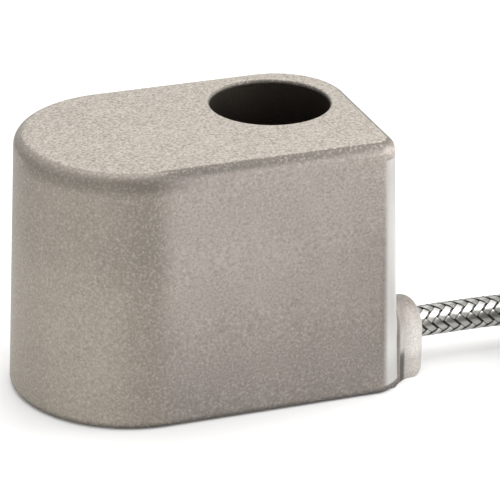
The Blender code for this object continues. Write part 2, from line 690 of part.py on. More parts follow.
def amplifier():
    chip("amplifier_chip", AMPLIFIER_SIZE, "chip", AMPLIFIER_AT, legs=4)
    chip("input_transistor", TRANSISTOR_SIZE, "chip", TRANSISTOR_AT, legs=2)
    end_capped("coupling_capacitor", COUPLING_SIZE, "capacitor", COUPLING_AT)
    end_capped("feedback_capacitor", FEEDBACK_SIZE, "capacitor", from_edge(FEEDBACK_TO_EDGE, 136))
    end_capped("bias_resistor_1", RESISTOR_SIZE, "seal", from_edge(RESISTOR_TO_EDGE, 175), math.pi / 2)
    end_capped("bias_resistor_2", RESISTOR_SIZE, "seal", from_edge(RESISTOR_TO_EDGE, 265))


def hookup_wires():
    """Signal wire from the back mass and shield wire from the can, both through the board."""
    over = BOARD_TOP + SLACK
    mass_top = PLATE_Z + PLATE_HEIGHT + GAP + HOOKUP_D / 2
    signal = [(CHAMBER_X, SIGNAL_WIRE_Y, z) for z in (mass_top, CAN_TOP, over)]
    tube("signal_wire", signal, HOOKUP_D, "red", 1.5 * MM)
    shield_x, shield_y = SHIELD_WIRE_AT
    shield = [(CHAMBER_X + shield_x, shield_y, z) for z in (CAN_TOP + GAP, BOARD_Z, over)]
    tube("shield_wire", shield, HOOKUP_D, "tinned", 1.0 * MM)


def cable_cores():
    """The cores leave the jacket, turn up beside the can and arch in over the board's edge."""
    start_x = JACKET_END_X - GAP
    land_z = BOARD_TOP + GAP + CORE_R
    cores = (("core_signal", "red", CABLE_Y + CORE_SPREAD), ("core_return", "black", CABLE_Y - CORE_SPREAD))
    for (name, finish, start_y), (rise_x, y) in zip(cores, core_rises()):
        x = CHAMBER_X + rise_x
        route = [(start_x, start_y, CABLE_Z), (start_x - CORE_LEAD_OUT, (start_y + y) / 2, CABLE_Z)]
        bend = arc(x + CORE_BEND_R, CABLE_Z + CORE_BEND_R, CORE_BEND_R, 270, 180, 3)
        route += [(bend_x, y, bend_z) for bend_x, bend_z in bend]
        route += [(x, y, (CABLE_Z + BOARD_TOP) / 2), (x, y, BOARD_TOP - CORE_D), (x, y, land_z + CORE_D)]
        for inward, rise in CORE_ARCH:
            share = 1 - inward / WIRE_R
            route.append((CHAMBER_X + share * rise_x, share * y, land_z + rise))
        tube(name, route, CORE_D, finish, 1.2 * CORE_D)


def cable_end():
    """What is on the stripped cable in its channel: jacket, crimped ferrule and ribbed seal."""
    inner = JACKET_R + GAP
    groove_r = (inner + CABLE_R) / 2
    rib = SEAL_LENGTH / SEAL_RIBS
    axis = (0.0, CABLE_Y, CABLE_Z)
    jacket = disc("inner_jacket", JACKET_R, JACKET_END_X, FERRULE_X, "jacket", at=axis, steps=24)
    ferrule = sleeve("crimp_ferrule", inner, CABLE_R, FERRULE_X - FERRULE_LENGTH, FERRULE_X,
                     "machined_steel", at=axis, steps=28)
    profile = [(inner, SEAL_X)]
    for i in range(SEAL_RIBS):
        top = SEAL_X - rib * i
        profile += [(CABLE_R, top), (CABLE_R, top - 0.5 * rib), (groove_r, top - 0.6 * rib),
                    (groove_r, top - 0.9 * rib)]
    profile += [(groove_r, SEAL_X - SEAL_LENGTH), (inner, SEAL_X - SEAL_LENGTH)]
    seal = turned("cable_seal", profile, "seal", at=axis, steps=28)
    for piece in (jacket, ferrule, seal):
        piece.rotation_euler = ALONG_X


def cable_lead():
    """The cable from inside the boss down to the coil."""
    route = [(CABLE_START_X, CABLE_Y, CABLE_Z), (BOSS_END_X, CABLE_Y, CABLE_Z)]
    route += [(BOSS_END_X + out * MM, CABLE_Y, height * MM) for out, height in LEAD_ROUTE]
    tube("cable_lead", route, CABLE_D, "braid", 2 * CABLE_D)


def cable_coil():
    """The outer shape of the wound cable."""
    corner = CABLE_R
    profile = [(COIL_INNER_R + corner, COIL_TOP)]
    profile += arc(COIL_OUTER_R - corner, COIL_TOP - corner, corner, 90, 0, 3)
    profile += arc(COIL_OUTER_R - corner, COIL_Z + corner, corner, 0, -90, 3)
    profile += arc(COIL_INNER_R + corner, COIL_Z + corner, corner, -90, -180, 3)
    profile += arc(COIL_INNER_R + corner, COIL_TOP - corner, corner, 180, 120, 2)
    turned("cable_coil", profile, "braid", at=(COIL_X, COIL_Y, 0.0), steps=52)


def rounded_box(low, high, corner, steps=4):
    """Outline of a box with round corners, anticlockwise."""
    (x0, y0), (x1, y1) = low, high
    points = arc(x1 - corner, y1 - corner, corner, 0, 90, steps)
    points += arc(x0 + corner, y1 - corner, corner, 90, 180, steps)
    points += arc(x0 + corner, y0 + corner, corner, 180, 270, steps)
    points += arc(x1 - corner, y0 + corner, corner, 270, 360, steps)
    return points


def coil_tie():
    """Strap round the coil's section, with its locking head on the outer side."""
    low, high = 0.0, COIL_HEIGHT + 2 * GAP
    near, far = COIL_INNER_R - GAP, COIL_OUTER_R + GAP
    corner = CABLE_R + GAP
    inside = rounded_box((near, low), (far, high), corner)
    outside = rounded_box((near - TIE_T, low - TIE_T), (far + TIE_T, high + TIE_T), corner + TIE_T)
    strap = plate("coil_tie", [outside, inside], TIE_WIDTH, "black", at=(COIL_X, COIL_Y, COIL_Z - GAP),
                  turn=(math.pi / 2, 0.0, TIE_ANGLE))
    strap = as_mesh(strap, "black")
    out = far + TIE_T / 2 + TIE_HEAD[0] / 2
    head_x, head_y = COIL_X + out * math.cos(TIE_ANGLE), COIL_Y + out * math.sin(TIE_ANGLE)
    head = block("tie_head_form", TIE_HEAD, None, (head_x, head_y, COIL_Z + COIL_HEIGHT / 2), TIE_T)
    head.rotation_euler = (0.0, 0.0, TIE_ANGLE)
    combine(strap, head, "UNION")


def on_coil(x, y, lift):
    """A point over the coil's top, from the coil's centre."""
    return (COIL_X + x * MM, COIL_Y + y * MM, COIL_TOP + GAP + lift)


def aimed(obj, start, end):
    """Turn a piece that was made along +Z so that it runs from start towards end."""
    obj.location = start
    obj.rotation_euler = (Vector(end) - Vector(start)).to_track_quat("Z", "Y").to_euler()


def cable_tail():
    """The cable's end, lying on the coil, and the shrunk sleeve over it."""
    turns = [(math.radians(angle), radius, rise * MM) for radius, angle, rise in TAIL_ROUTE]
    route = [on_coil(radius * math.cos(a), radius * math.sin(a), CABLE_R + rise) for a, radius, rise in turns]
    sleeve_start = Vector(on_coil(*SLEEVE_START, SLEEVE_R))
    along = Vector((*SLEEVE_DIRECTION, 0.0)).normalized()
    half = SLEEVE_LENGTH / 2
    route += [sleeve_start + along * GAP, sleeve_start + along * (half - GAP)]
    tube("cable_tail", route, CABLE_D, "braid", 2 * CABLE_D)
    cover = sleeve("end_sleeve", CABLE_R + GAP, SLEEVE_R, 0.0, SLEEVE_LENGTH, "black", steps=32)
    aimed(cover, sleeve_start, sleeve_start + along)
    jacket = [sleeve_start + along * half, sleeve_start + along * (SLEEVE_LENGTH - GAP)]
    jacket += [on_coil(x, y, JACKET_R + rise * MM) for x, y, rise in TAIL_JACKET_ROUTE]
    tube("tail_jacket", jacket, JACKET_D, "jacket", 1.2 * JACKET_D)


def flying_leads():
    """The two cores and the twisted screen, each in a crimped wire-end ferrule."""
    finishes = {"signal": ("red", CORE_D), "return": ("black", CORE_D), "screen": ("tinned", SCREEN_D)}
    collar_r = WIRE_FERRULE_D / 2 + GAP
    for name, points in LEAD_ENDS.items():
        finish, diameter = finishes[name]
        route = [on_coil(x, y, collar_r) for x, y in points]
        tube(f"lead_{name}", route, diameter, finish, 2 * diameter)
        end, before = Vector(route[-1]), Vector(route[-2])
        along = (end - before).normalized()
        high = WIRE_FERRULE_LENGTH
        profile = [
            (0.0, high),
            (WIRE_FERRULE_D / 2 - GAP, high),
            (WIRE_FERRULE_D / 2, high - GAP),
            (WIRE_FERRULE_D / 2, WIRE_FERRULE_LENGTH / 3),
            (collar_r, WIRE_FERRULE_LENGTH / 3 - GAP),
            (collar_r, 0.0),
            (0.0, 0.0),
        ]
        ferrule = turned(f"ferrule_{name}", profile, "tinned", steps=20)
        aimed(ferrule, end + along * GAP, end + along)


def build():
    housing()
    base_cover()
    sleeve("isolator_disc", SCREW_HOLE_R, CAN_R + ISOLATOR_LIP, ISOLATOR_Z, ISOLATOR_Z + ISOLATOR_T,
           "ceramic", at=CHAMBER_AT)
    sensing_post()
    shear_stack()
    sleeve("insulating_washer", SCREW_HOLE_R, WASHER_D / 2, WASHER_Z, WASHER_Z + WASHER_T, "ceramic",
           at=CHAMBER_AT)
    stack_screw()
    shield_can()
    sleeve("board_spacer", CAN_R - GAP - SPACER_W, CAN_R - GAP, SPACER_Z, SPACER_Z + SPACER_T, "polymer",
           at=CHAMBER_AT)
    circuit_board()
    amplifier()
    hookup_wires()
    cable_cores()
    cable_end()
    cable_lead()
    cable_coil()
    coil_tie()
    cable_tail()
    flying_leads()


clear_scene()
pieces = new_collection("vibration_sensor")
cutters = new_collection("forms")
frame_empty = bpy.data.objects.new("sensor_frame", None)
frame_empty.location = (-ORIGIN_X, 0.0, 0.0)
pieces.objects.link(frame_empty)
build()
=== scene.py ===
"""Looks of the side-exit vibration sensor: blasted casting, braided cable, closing parts and studio."""
import json
import math

import bmesh
import bpy
import numpy as np
from mathutils import Matrix, Vector


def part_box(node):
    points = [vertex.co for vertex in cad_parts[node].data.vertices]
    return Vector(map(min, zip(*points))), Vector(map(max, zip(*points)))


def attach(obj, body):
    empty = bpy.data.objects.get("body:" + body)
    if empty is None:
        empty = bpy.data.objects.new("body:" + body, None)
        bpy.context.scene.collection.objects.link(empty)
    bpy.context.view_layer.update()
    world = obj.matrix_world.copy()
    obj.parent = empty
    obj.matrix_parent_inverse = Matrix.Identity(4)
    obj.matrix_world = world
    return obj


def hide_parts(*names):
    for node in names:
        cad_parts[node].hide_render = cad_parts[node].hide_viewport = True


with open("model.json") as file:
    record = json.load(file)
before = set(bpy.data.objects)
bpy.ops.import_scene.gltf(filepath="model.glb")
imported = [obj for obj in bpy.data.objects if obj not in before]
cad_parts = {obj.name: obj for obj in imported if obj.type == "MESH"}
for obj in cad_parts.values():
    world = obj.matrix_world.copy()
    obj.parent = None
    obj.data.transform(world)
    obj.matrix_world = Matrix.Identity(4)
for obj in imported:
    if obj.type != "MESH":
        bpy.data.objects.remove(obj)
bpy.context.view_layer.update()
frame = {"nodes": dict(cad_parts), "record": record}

MM = 0.001
GAP = 0.3 * MM                      # clearance between pieces that touch
MERGE_DISTANCE = 0.002 * MM

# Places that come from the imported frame
housing_low, housing_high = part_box("housing")
cover_low, cover_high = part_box("base_cover")
openings = {opening["name"]: opening["box_m"] for opening in frame["record"]["physics"]["openings"]}
bore_low, bore_high = (Vector(corner) for corner in openings["bolt_head_bore"])
HEIGHT = housing_high[2]
BOSS_END_X = housing_high[0]
CHAMBER_X = (cover_low[0] + cover_high[0]) / 2
BORE_X = (bore_low.x + bore_high.x) / 2
BORE_Y = (bore_low.y + bore_high.y) / 2

# Casting
TOP_WIDTH = 26.0 * MM
HALF_WIDTH = TOP_WIDTH / 2
BORE_TO_END = 9.8 * MM
DRAFT = math.radians(1.85)
FRONT_CORNER_R = 2.5 * MM
BACK_CORNER_R = 8.4 * MM
TOP_EDGE_R = 1.4 * MM
BASE_EDGE_R = 0.8 * MM
BASE_GROWTH = HEIGHT * math.tan(DRAFT)
LEFT_X = CHAMBER_X - HALF_WIDTH
RIGHT_X = BORE_X + BORE_TO_END
MIDDLE_X = (LEFT_X + RIGHT_X) / 2

# Bolt bore and chamber
BORE_R = 7.0 * MM
BORE_EDGE = 0.35 * MM
BOLT_SEAT_Z = 10.0 * MM
BOLT_HOLE_R = 4.5 * MM
BOLT_HOLE_CHAMFER = 0.4 * MM
CHAMBER_R = 9.8 * MM
CHAMBER_TOP = HEIGHT - 3.5 * MM
SHOULDER_R = 10.7 * MM
SHOULDER_Z = 2.1 * MM
OVERSHOOT = 1.0 * MM

# Cable boss
BOSS_R = 3.55 * MM
BOSS_REACH = 3.9 * MM
BOSS_BLEND = 1.9 * MM
BOSS_END_R = 1.9 * MM
WALL_X = BOSS_END_X - BOSS_REACH
CHANNEL_R = 2.2 * MM
CHANNEL_MOUTH_R = 2.4 * MM
CHANNEL_EDGE = 0.2 * MM

# Cable and its braid
CABLE_D = 3.8 * MM
CABLE_R = CABLE_D / 2
CABLE_Y = -7.5 * MM
CABLE_Z = 5.3 * MM
CABLE_INSERT = 6.0 * MM
BRAID_BEHIND = 1.2 * MM             # woven inside the channel
CURVE_STEPS = 24                    # between two given points of a route
BEDDING_R = 1.55 * MM
CARRIERS = 8                        # ribbons each way round
LAY_LENGTH = 11.4 * MM
RIBBON_SHARE = 0.82                 # width of a ribbon in its cell
RIBBON_T = 0.1 * MM
RIBBON_R = 1.72 * MM
RIBBON_LIFT = 0.09 * MM
WIRES = 7                           # side by side in a ribbon
RIBBON_SAMPLES = 4                  # along each cell
RIBBON_STEEPNESS = 2.2              # of its dive from over to under
WIRE_RELIEF = 0.04 * MM
BRAID_PHASE = math.radians(11.9)

# Coil
COIL_TURNS_ACROSS = 6
COIL_LAYERS = 5
COIL_INNER_TURN_R = 15.5 * MM
COIL_PITCH = 3.9 * MM
COIL_LAYER_PITCH = 3.84 * MM
COIL_OUTER_TURN_R = COIL_INNER_TURN_R + (COIL_TURNS_ACROSS - 1) * COIL_PITCH
coil_low, coil_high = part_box("cable_coil")
COIL_X = (coil_low[0] + coil_high[0]) / 2
COIL_Y = (coil_low[1] + coil_high[1]) / 2
COIL_TOP = coil_high[2]
COIL_FIRST_Z = coil_low[2] + GAP / 3 + CABLE_R
TOP_TURN_Z = COIL_FIRST_Z + COIL_LAYER_PITCH * (COIL_LAYERS - 1)
TAIL_Z = COIL_TOP + GAP + CABLE_R
POINTS_A_TURN = 64
TURN_START = 90                     # degrees round the coil's axis
CROSSING = (285, 345)               # degrees of each turn in which it moves over
LAST_ARC = 52                       # degrees of the open turn
CLIMB_START = 40                    # degrees
CLIMB_STEPS = 7
COIL_OUTER_R = COIL_OUTER_TURN_R + CABLE_R + GAP / 3
COIL_INNER_R = COIL_INNER_TURN_R - CABLE_R - GAP / 3
TIE_T = 0.5 * MM
TIE_WIDTH = 3.6 * MM
TIE_ANGLE = math.radians(78)
TIE_TRAVEL = math.radians(12)       # from the coil's first point to the tie
TIE_HEAD = (3.4 * MM, 5.0 * MM, 4.6 * MM)
TIE_EDGE = 0.06 * MM
RIB_STEP = 0.9 * MM

# Base cover and the weld round it
COVER_RECESS = cover_low[2]
COVER_TOP = cover_high[2]
COVER_RIM_R = (cover_high[0] - cover_low[0]) / 2
COVER_RIM_TOP = COVER_RECESS + 1.5 * MM
COVER_CHAMFER = 0.35 * MM
SCREW_HOLE_R = 1.55 * MM
SCREW_BITE = 2.4 * MM
WELD_R = 0.27 * MM
WELD_RIPPLES = 84
RIPPLE_HEIGHT = 0.045 * MM
TURNING_STEP = 0.8 * MM             # between the grooves in the cover's face
TURNING_WIDTH = 0.16 * MM
TURNING_DEPTH = 0.05 * MM

# Listed routes. Lead: distance past the boss and height, in millimetres
LEAD_ROUTE = ((5.0, 5.3), (10.0, 5.2), (15.0, 4.85), (19.5, 4.3), (23.2, 3.75), (28.0, 3.2), (33.0, 2.8))
# Tail on the coil, from the coil's centre: radius, angle in degrees, lift in millimetres
TAIL_ROUTE = ((16.0, -28, 0.0), (17.4, -58, 0.0), (19.6, -90, 0.0), (22.4, -120, 0.2), (24.6, -147, 0.6))
SLEEVE_START = (-24.15, -6.47)
SLEEVE_DIRECTION = (-0.259, 0.966)
SLEEVE_LENGTH = 12.0 * MM
SLEEVE_WALL = 0.3 * MM
SLEEVE_R = CABLE_R + GAP + SLEEVE_WALL
JACKET_R = 1.25 * MM
CORE_D = 0.9 * MM
SCREEN_D = 1.2 * MM
SCREEN_STRANDS = 6                  # round a middle one
SCREEN_LAY = 7.0 * MM
WIRE_FERRULE_D = 1.5 * MM
WIRE_FERRULE_LENGTH = 6.0 * MM
CRIMP_DEPTH = 0.16                  # shares of the ferrule's radius
NOTCH_DEPTH = 0.05
NOTCHES = 5
TAIL_JACKET_ROUTE = ((-28.0, 9.2, 0.5), (-27.4, 13.2, 0.3))
LEADS = (("signal", "red", CORE_D), ("return", "black", CORE_D), ("screen", "tinned", SCREEN_D))
LEAD_ENDS = {
    "signal": ((-28.0, 13.7), (-26.9, 18.0), (-23.4, 23.0), (-18.4, 26.6)),
    "return": ((-26.7, 13.4), (-24.7, 17.4), (-20.8, 21.2), (-15.6, 23.8)),
    "screen": ((-25.2, 6.4), (-24.2, 10.6), (-21.6, 14.8), (-17.4, 18.0), (-12.4, 20.0)),
}

# Photograph's camera, fitted to the casting's outline
PHOTO_WIDTH = 500
FOCAL_PIXELS = 3429.36
CAMERA_YAW = 0.3533
CAMERA_PITCH = 0.4232
CAMERA_ROLL = 0.0103
CAMERA_DISTANCE = 395.75 * MM
CAMERA_SLIDE = (6.798 * MM, -0.366 * MM)
CAMERA_TARGET_Z = 15.357 * MM
SENSOR = 36.0
CLIP = (0.05, 20.0)

# Studio. Lamps: place, aim, width in metres and power in watts
FLOOR_SIZE = 6.0
FLOOR_DROP = 0.02 * MM
FLOOR_COLOUR = (0.9, 0.9, 0.9, 1.0)
WHITE = (1.0, 1.0, 1.0, 1.0)
BOSS_END = (BOSS_END_X, CABLE_Y, CABLE_Z)
OBJECT_MIDDLE = (0.0, 0.0, 0.015)
LAMPS = {
    "top": ((0.0, 0.0, 0.8), OBJECT_MIDDLE, 0.4, 1.8),
    "top_back": ((0.2, 0.5, 0.6), OBJECT_MIDDLE, 0.3, 0.8),
    "front_right": ((0.5, -0.35, 0.1), OBJECT_MIDDLE, 0.3, 0.7),
    "right": ((0.6, 0.0, 0.15), OBJECT_MIDDLE, 0.3, 1.8),
    "boss": ((0.04, -0.03, 0.045), BOSS_END, 0.02, 0.01),
}

# Tones of the casting, the braid and turned steel, many of them painted light and shade
WALL_TONE = (0.388, 0.35, 0.317)
# Painted shade on the round end and painted light on the top: shaded and lit copies of the wall's tone
ROUND_END_SHADE_TONE = (0.316, 0.285, 0.243)
TOP_LIT_TONE = (0.405, 0.367, 0.321)
# Bright grain specks, partly painted glints
GRAIN_AND_GLINT_TONE = (0.55, 0.515, 0.475)
DARK_GRAIN_TONE = (0.2, 0.18, 0.156)
# Painted highlight on the boss
BOSS_HIGHLIGHT_TONE = (0.98, 0.94, 0.9)
# Painted shade in the bore
BORE_SHADE_TONE = (0.05, 0.042, 0.035)
# Painted highlight on the front corner
CORNER_HIGHLIGHT_TONE = (1.0, 0.985, 0.96)
WIRE_DULL = (0.6, 0.59, 0.56)
WIRE_BRIGHT = (0.8, 0.79, 0.755)
# Painted shade on the ribbons of the other way
WIRE_OTHER_WAY_SHADE = (0.2, 0.2, 0.18)
# Painted shade where ribbons pass under and at their edges
WIRE_GAP_SHADE = (0.05, 0.05, 0.045)
# Painted shade on the drawn ribbons of the other way
DRAWN_OTHER_WAY_SHADE = (0.35, 0.345, 0.32)
DRAWN_OVER = (0.78, 0.77, 0.73)
# Bedding painted dark as shade under the ribbons
BEDDING_SHADE_TONE = (0.02, 0.02, 0.02)
TURNED_TONE = (0.62, 0.61, 0.59)


def photo_camera():
    back = Vector((-math.sin(CAMERA_YAW) * math.cos(CAMERA_PITCH),
                   -math.cos(CAMERA_YAW) * math.cos(CAMERA_PITCH),
                   math.sin(CAMERA_PITCH)))
    level = Vector((math.cos(CAMERA_YAW), -math.sin(CAMERA_YAW), 0.0))
    upright = back.cross(level)
    right = math.cos(CAMERA_ROLL) * level + math.sin(CAMERA_ROLL) * upright
    up = -math.sin(CAMERA_ROLL) * level + math.cos(CAMERA_ROLL) * upright
    place = Vector((MIDDLE_X, 0.0, CAMERA_TARGET_Z)) + back * CAMERA_DISTANCE
    place += right * CAMERA_SLIDE[0] + up * CAMERA_SLIDE[1]
    data = bpy.data.cameras.new("photo_camera")
    data.sensor_width = SENSOR
    data.lens = FOCAL_PIXELS / PHOTO_WIDTH * SENSOR
    data.clip_start, data.clip_end = CLIP
    camera = bpy.data.objects.new("photo_camera", data)
    camera.matrix_world = Matrix((right, up, back)).transposed().to_4x4()
    camera.matrix_world.translation = place
    bpy.context.scene.collection.objects.link(camera)
    bpy.context.scene.camera = camera


# Modelling helpers

def deselect():
    if bpy.context.mode != "OBJECT":
        bpy.ops.object.mode_set(mode="OBJECT")
    bpy.ops.object.select_all(action="DESELECT")


def only(obj):
    """Make a piece the only selected one, in object mode."""
    deselect()
    obj.select_set(True)
    bpy.context.view_layer.objects.active = obj


def started(name):
    """Name the primitive just added, put its place in its mesh and open it in edit mode."""
    obj = bpy.context.object
    obj.name = obj.data.name = name
    bpy.ops.object.transform_apply(location=True, rotation=True, scale=True)
    bpy.ops.object.mode_set(mode="EDIT")
    return obj


def box(name, low, high):
    deselect()
    low, high = Vector(low), Vector(high)
    bpy.ops.mesh.primitive_cube_add(size=1.0, location=(low + high) / 2, scale=high - low)
    return started(name)


def pick(obj, kind, test):
    """Select in edit mode the vertices, edges or faces whose place and direction pass a test."""
    bpy.ops.mesh.select_mode(type=kind)
    bpy.ops.mesh.select_all(action="DESELECT")
    bm = bmesh.from_edit_mesh(obj.data)
    if kind == "VERT":
        chosen = [v for v in bm.verts if test(v.co, v.normal)]
    elif kind == "EDGE":
        chosen = [e for e in bm.edges if test((e.verts[0].co + e.verts[1].co) / 2,
                                              e.verts[1].co - e.verts[0].co)]
    else:
        chosen = [f for f in bm.faces if test(f.calc_center_median(), f.normal)]
    for item in chosen:
        item.select_set(True)
    bmesh.update_edit_mesh(obj.data)


def round_off(obj, test, radius, segments):
    """Round the edges that pass a test."""
    pick(obj, "EDGE", test)
    bpy.ops.mesh.bevel(offset=radius, segments=segments, affect="EDGES")


def merge():
    bpy.ops.mesh.select_all(action="SELECT")
    bpy.ops.mesh.remove_doubles(threshold=MERGE_DISTANCE)


def turned(name, profile, at=(0.0, 0.0), sides=96, ring=False):
    """A circle extruded and scaled along (radius, height) points round an upright axis."""
    deselect()
    radius, height = profile[0]
    bpy.ops.mesh.primitive_circle_add(vertices=sides, radius=radius, location=(*at, height),
                                      fill_type="NOTHING" if ring else "NGON")
    obj = started(name)
    bpy.ops.mesh.select_mode(type="EDGE" if ring else "FACE")
    bpy.ops.mesh.select_all(action="SELECT")
    for next_radius, next_height in profile[1:]:
        bpy.ops.mesh.extrude_region_move(TRANSFORM_OT_translate={"value": (0.0, 0.0, next_height - height)})
        share = next_radius / radius
        bpy.ops.transform.resize(value=(share, share, 1.0), center_override=(*at, next_height))
        radius, height = next_radius, next_height
    if ring:
        bpy.ops.mesh.select_all(action="DESELECT")
        bpy.ops.mesh.select_non_manifold()
        bpy.ops.mesh.bridge_edge_loops()
    merge()
    bpy.ops.mesh.normals_make_consistent(inside=False)
    return obj


def arc(cx, cy, radius, start, end, steps):
    """Points of an arc in a profile, both ends included, angles in degrees."""
    angles = [math.radians(start + (end - start) * i / steps) for i in range(steps + 1)]
    return [(cx + radius * math.cos(a), cy + radius * math.sin(a)) for a in angles]


def apply_all(obj):
    only(obj)
    for modifier in list(obj.modifiers):
        bpy.ops.object.modifier_apply(modifier=modifier.name)


def combine(obj, other, operation):
    """Join another form to a piece, or cut it out, and drop the form."""
    deselect()
    modifier = obj.modifiers.new(operation, "BOOLEAN")
    modifier.operation = operation
    modifier.solver = "EXACT"
    modifier.object = other
    apply_all(obj)
    bpy.data.objects.remove(other, do_unlink=True)


def smooth(obj, angle=30.0, weighted=True):
    only(obj)
    bpy.ops.object.shade_smooth_by_angle(angle=math.radians(angle))
    if weighted:
        modifier = obj.modifiers.new("weighted", "WEIGHTED_NORMAL")
        modifier.keep_sharp = True
        modifier.weight = 80
        bpy.ops.object.modifier_apply(modifier=modifier.name)


def finished(obj, material, slot, *nodes):
    """Give a piece its finish, its body and the nodes that it stands for."""
    deselect()
    obj.data.materials.clear()
    obj.data.materials.append(material)
    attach(obj, "root")
    if nodes:
        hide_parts(*nodes)
    return obj


# Casting

def drafted_block():
    """The casting's block: round left end, two corner radii, drafted walls and rounded rims."""
    body = box("casting", (LEFT_X, -HALF_WIDTH, 0.0), (RIGHT_X, HALF_WIDTH, HEIGHT))

    def upright(at, along):
        return abs(along.z) > HEIGHT / 2

    def at_end(at, along):
        return upright(at, along) and at.x > RIGHT_X - GAP

    round_off(body, lambda at, along: upright(at, along) and at.x < MIDDLE_X, HALF_WIDTH, 48)
    merge()
    round_off(body, lambda at, along: at_end(at, along) and at.y < 0, FRONT_CORNER_R, 14)
    round_off(body, lambda at, along: at_end(at, along) and at.y > 0, BACK_CORNER_R, 28)
    pick(body, "FACE", lambda at, normal: normal.z < -0.9)
    bpy.ops.mesh.delete(type="ONLY_FACE")
    pick(body, "VERT", lambda at, normal: at.z < GAP)
    bpy.ops.transform.shrink_fatten(value=BASE_GROWTH, use_even_offset=True)
    pick(body, "EDGE", lambda at, along: at.z < GAP)
    bpy.ops.mesh.edge_face_add()
    round_off(body, lambda at, along: at.z > HEIGHT - GAP, TOP_EDGE_R, 10)
    round_off(body, lambda at, along: at.z < GAP, BASE_EDGE_R, 5)
    bpy.ops.mesh.select_all(action="SELECT")
    bpy.ops.mesh.normals_make_consistent(inside=False)
    deselect()
    return body


def wall_lean(y, z):
    """How far the drafted end wall, with its front corner, lies from its place at the cable's axis."""
    growth = (HEIGHT - z) * math.tan(DRAFT)
    radius = FRONT_CORNER_R + growth
    past_corner = min(max(FRONT_CORNER_R - HALF_WIDTH - y, 0.0), radius)
    return RIGHT_X + growth - radius + math.sqrt(radius ** 2 - past_corner ** 2) - WALL_X


def cable_boss():
    """Tombstone boss: round over the cable, blended into the wall and rounded at its end."""
    inside_x = WALL_X - BOSS_REACH / 2
    boss = box("boss", (inside_x, CABLE_Y - BOSS_R, 0.0),
               (BOSS_END_X - BOSS_END_R, CABLE_Y + BOSS_R, CABLE_Z + BOSS_R))
    round_off(boss, lambda at, along: abs(along.x) > BOSS_END_R and at.z > CABLE_Z, BOSS_R, 32)
    merge()
    pick(boss, "FACE", lambda at, normal: normal.x > 0.9)
    steps = 9
    turns = [math.radians(90 * i / steps) for i in range(steps + 1)]
    for first, second in zip(turns, turns[1:]):
        inward = BOSS_END_R * (math.cos(first) - math.cos(second))
        outward = BOSS_END_R * (math.sin(second) - math.sin(first))
        bpy.ops.mesh.inset(thickness=inward, depth=outward, use_even_offset=True)
    for first in turns:
        bpy.ops.mesh.select_all(action="SELECT")
        bpy.ops.mesh.bisect(plane_co=(WALL_X + BOSS_BLEND * (1 - math.cos(first)), 0.0, 0.0),
                            plane_no=(1.0, 0.0, 0.0))
    deselect()
    for vertex in boss.data.vertices:
        x, y, z = vertex.co
        if x > WALL_X + BOSS_BLEND + GAP / 100:
            continue
        out = max(x - WALL_X, 0.0)
        growth = BOSS_BLEND - math.sqrt(BOSS_BLEND ** 2 - (BOSS_BLEND - out) ** 2)
        away = Vector((0.0, y - CABLE_Y, max(z - CABLE_Z, 0.0)))
        away = away.normalized() * growth
        y += away.y
        z += away.z
        front = -HALF_WIDTH - (HEIGHT - z) * math.tan(DRAFT) + GAP
        y = max(y, front)
        share = 1.0 - out / BOSS_BLEND if x > WALL_X - GAP else 0.0
        vertex.co = (x + share * wall_lean(y, z), y, z)
    return boss


def bore_form():
    profile = [(BOLT_HOLE_R + BOLT_HOLE_CHAMFER, -OVERSHOOT), (BOLT_HOLE_R + BOLT_HOLE_CHAMFER, 0.0)]
    profile += [(BOLT_HOLE_R, BOLT_HOLE_CHAMFER), (BOLT_HOLE_R, BOLT_SEAT_Z - BOLT_HOLE_CHAMFER)]
    profile += [(BOLT_HOLE_R + BOLT_HOLE_CHAMFER, BOLT_SEAT_Z), (BORE_R, BOLT_SEAT_Z)]
    profile += arc(BORE_R + BORE_EDGE, HEIGHT - BORE_EDGE, BORE_EDGE, 180, 90, 6)
    profile += [(BORE_R + BORE_EDGE, HEIGHT + OVERSHOOT)]
    return turned("bore_form", profile, (BORE_X, BORE_Y), 128)


def chamber_form():
    profile = [(SHOULDER_R, -OVERSHOOT), (SHOULDER_R, SHOULDER_Z), (CHAMBER_R, SHOULDER_Z)]
    profile += arc(CHAMBER_R - OVERSHOOT, CHAMBER_TOP - OVERSHOOT, OVERSHOOT, 0, 90, 6)
    return turned("chamber_form", profile, (CHAMBER_X, 0.0))


def channel_form():
    length = BOSS_END_X - CHAMBER_X
    profile = [(CHANNEL_R, 0.0), (CHANNEL_R, length - CHANNEL_EDGE), (CHANNEL_MOUTH_R, length)]
    profile += [(CHANNEL_MOUTH_R, length + OVERSHOOT)]
    form = turned("channel_form", profile, sides=64)
    deselect()
    level = Matrix.Rotation(math.pi / 2, 4, "Y")
    form.data.transform(Matrix.Translation((CHAMBER_X, CABLE_Y, CABLE_Z)) @ level)
    return form


def casting():
    body = drafted_block()
    combine(body, cable_boss(), "UNION")
    combine(body, bore_form(), "DIFFERENCE")
    combine(body, chamber_form(), "DIFFERENCE")
    combine(body, channel_form(), "DIFFERENCE")
    smooth(body)
    return body


# Cable

def lengths_along(path):
    """Distance of each point from the start of a path."""
    steps = np.linalg.norm(np.diff(path, axis=0), axis=1)
    return np.concatenate(([0.0], np.cumsum(steps)))


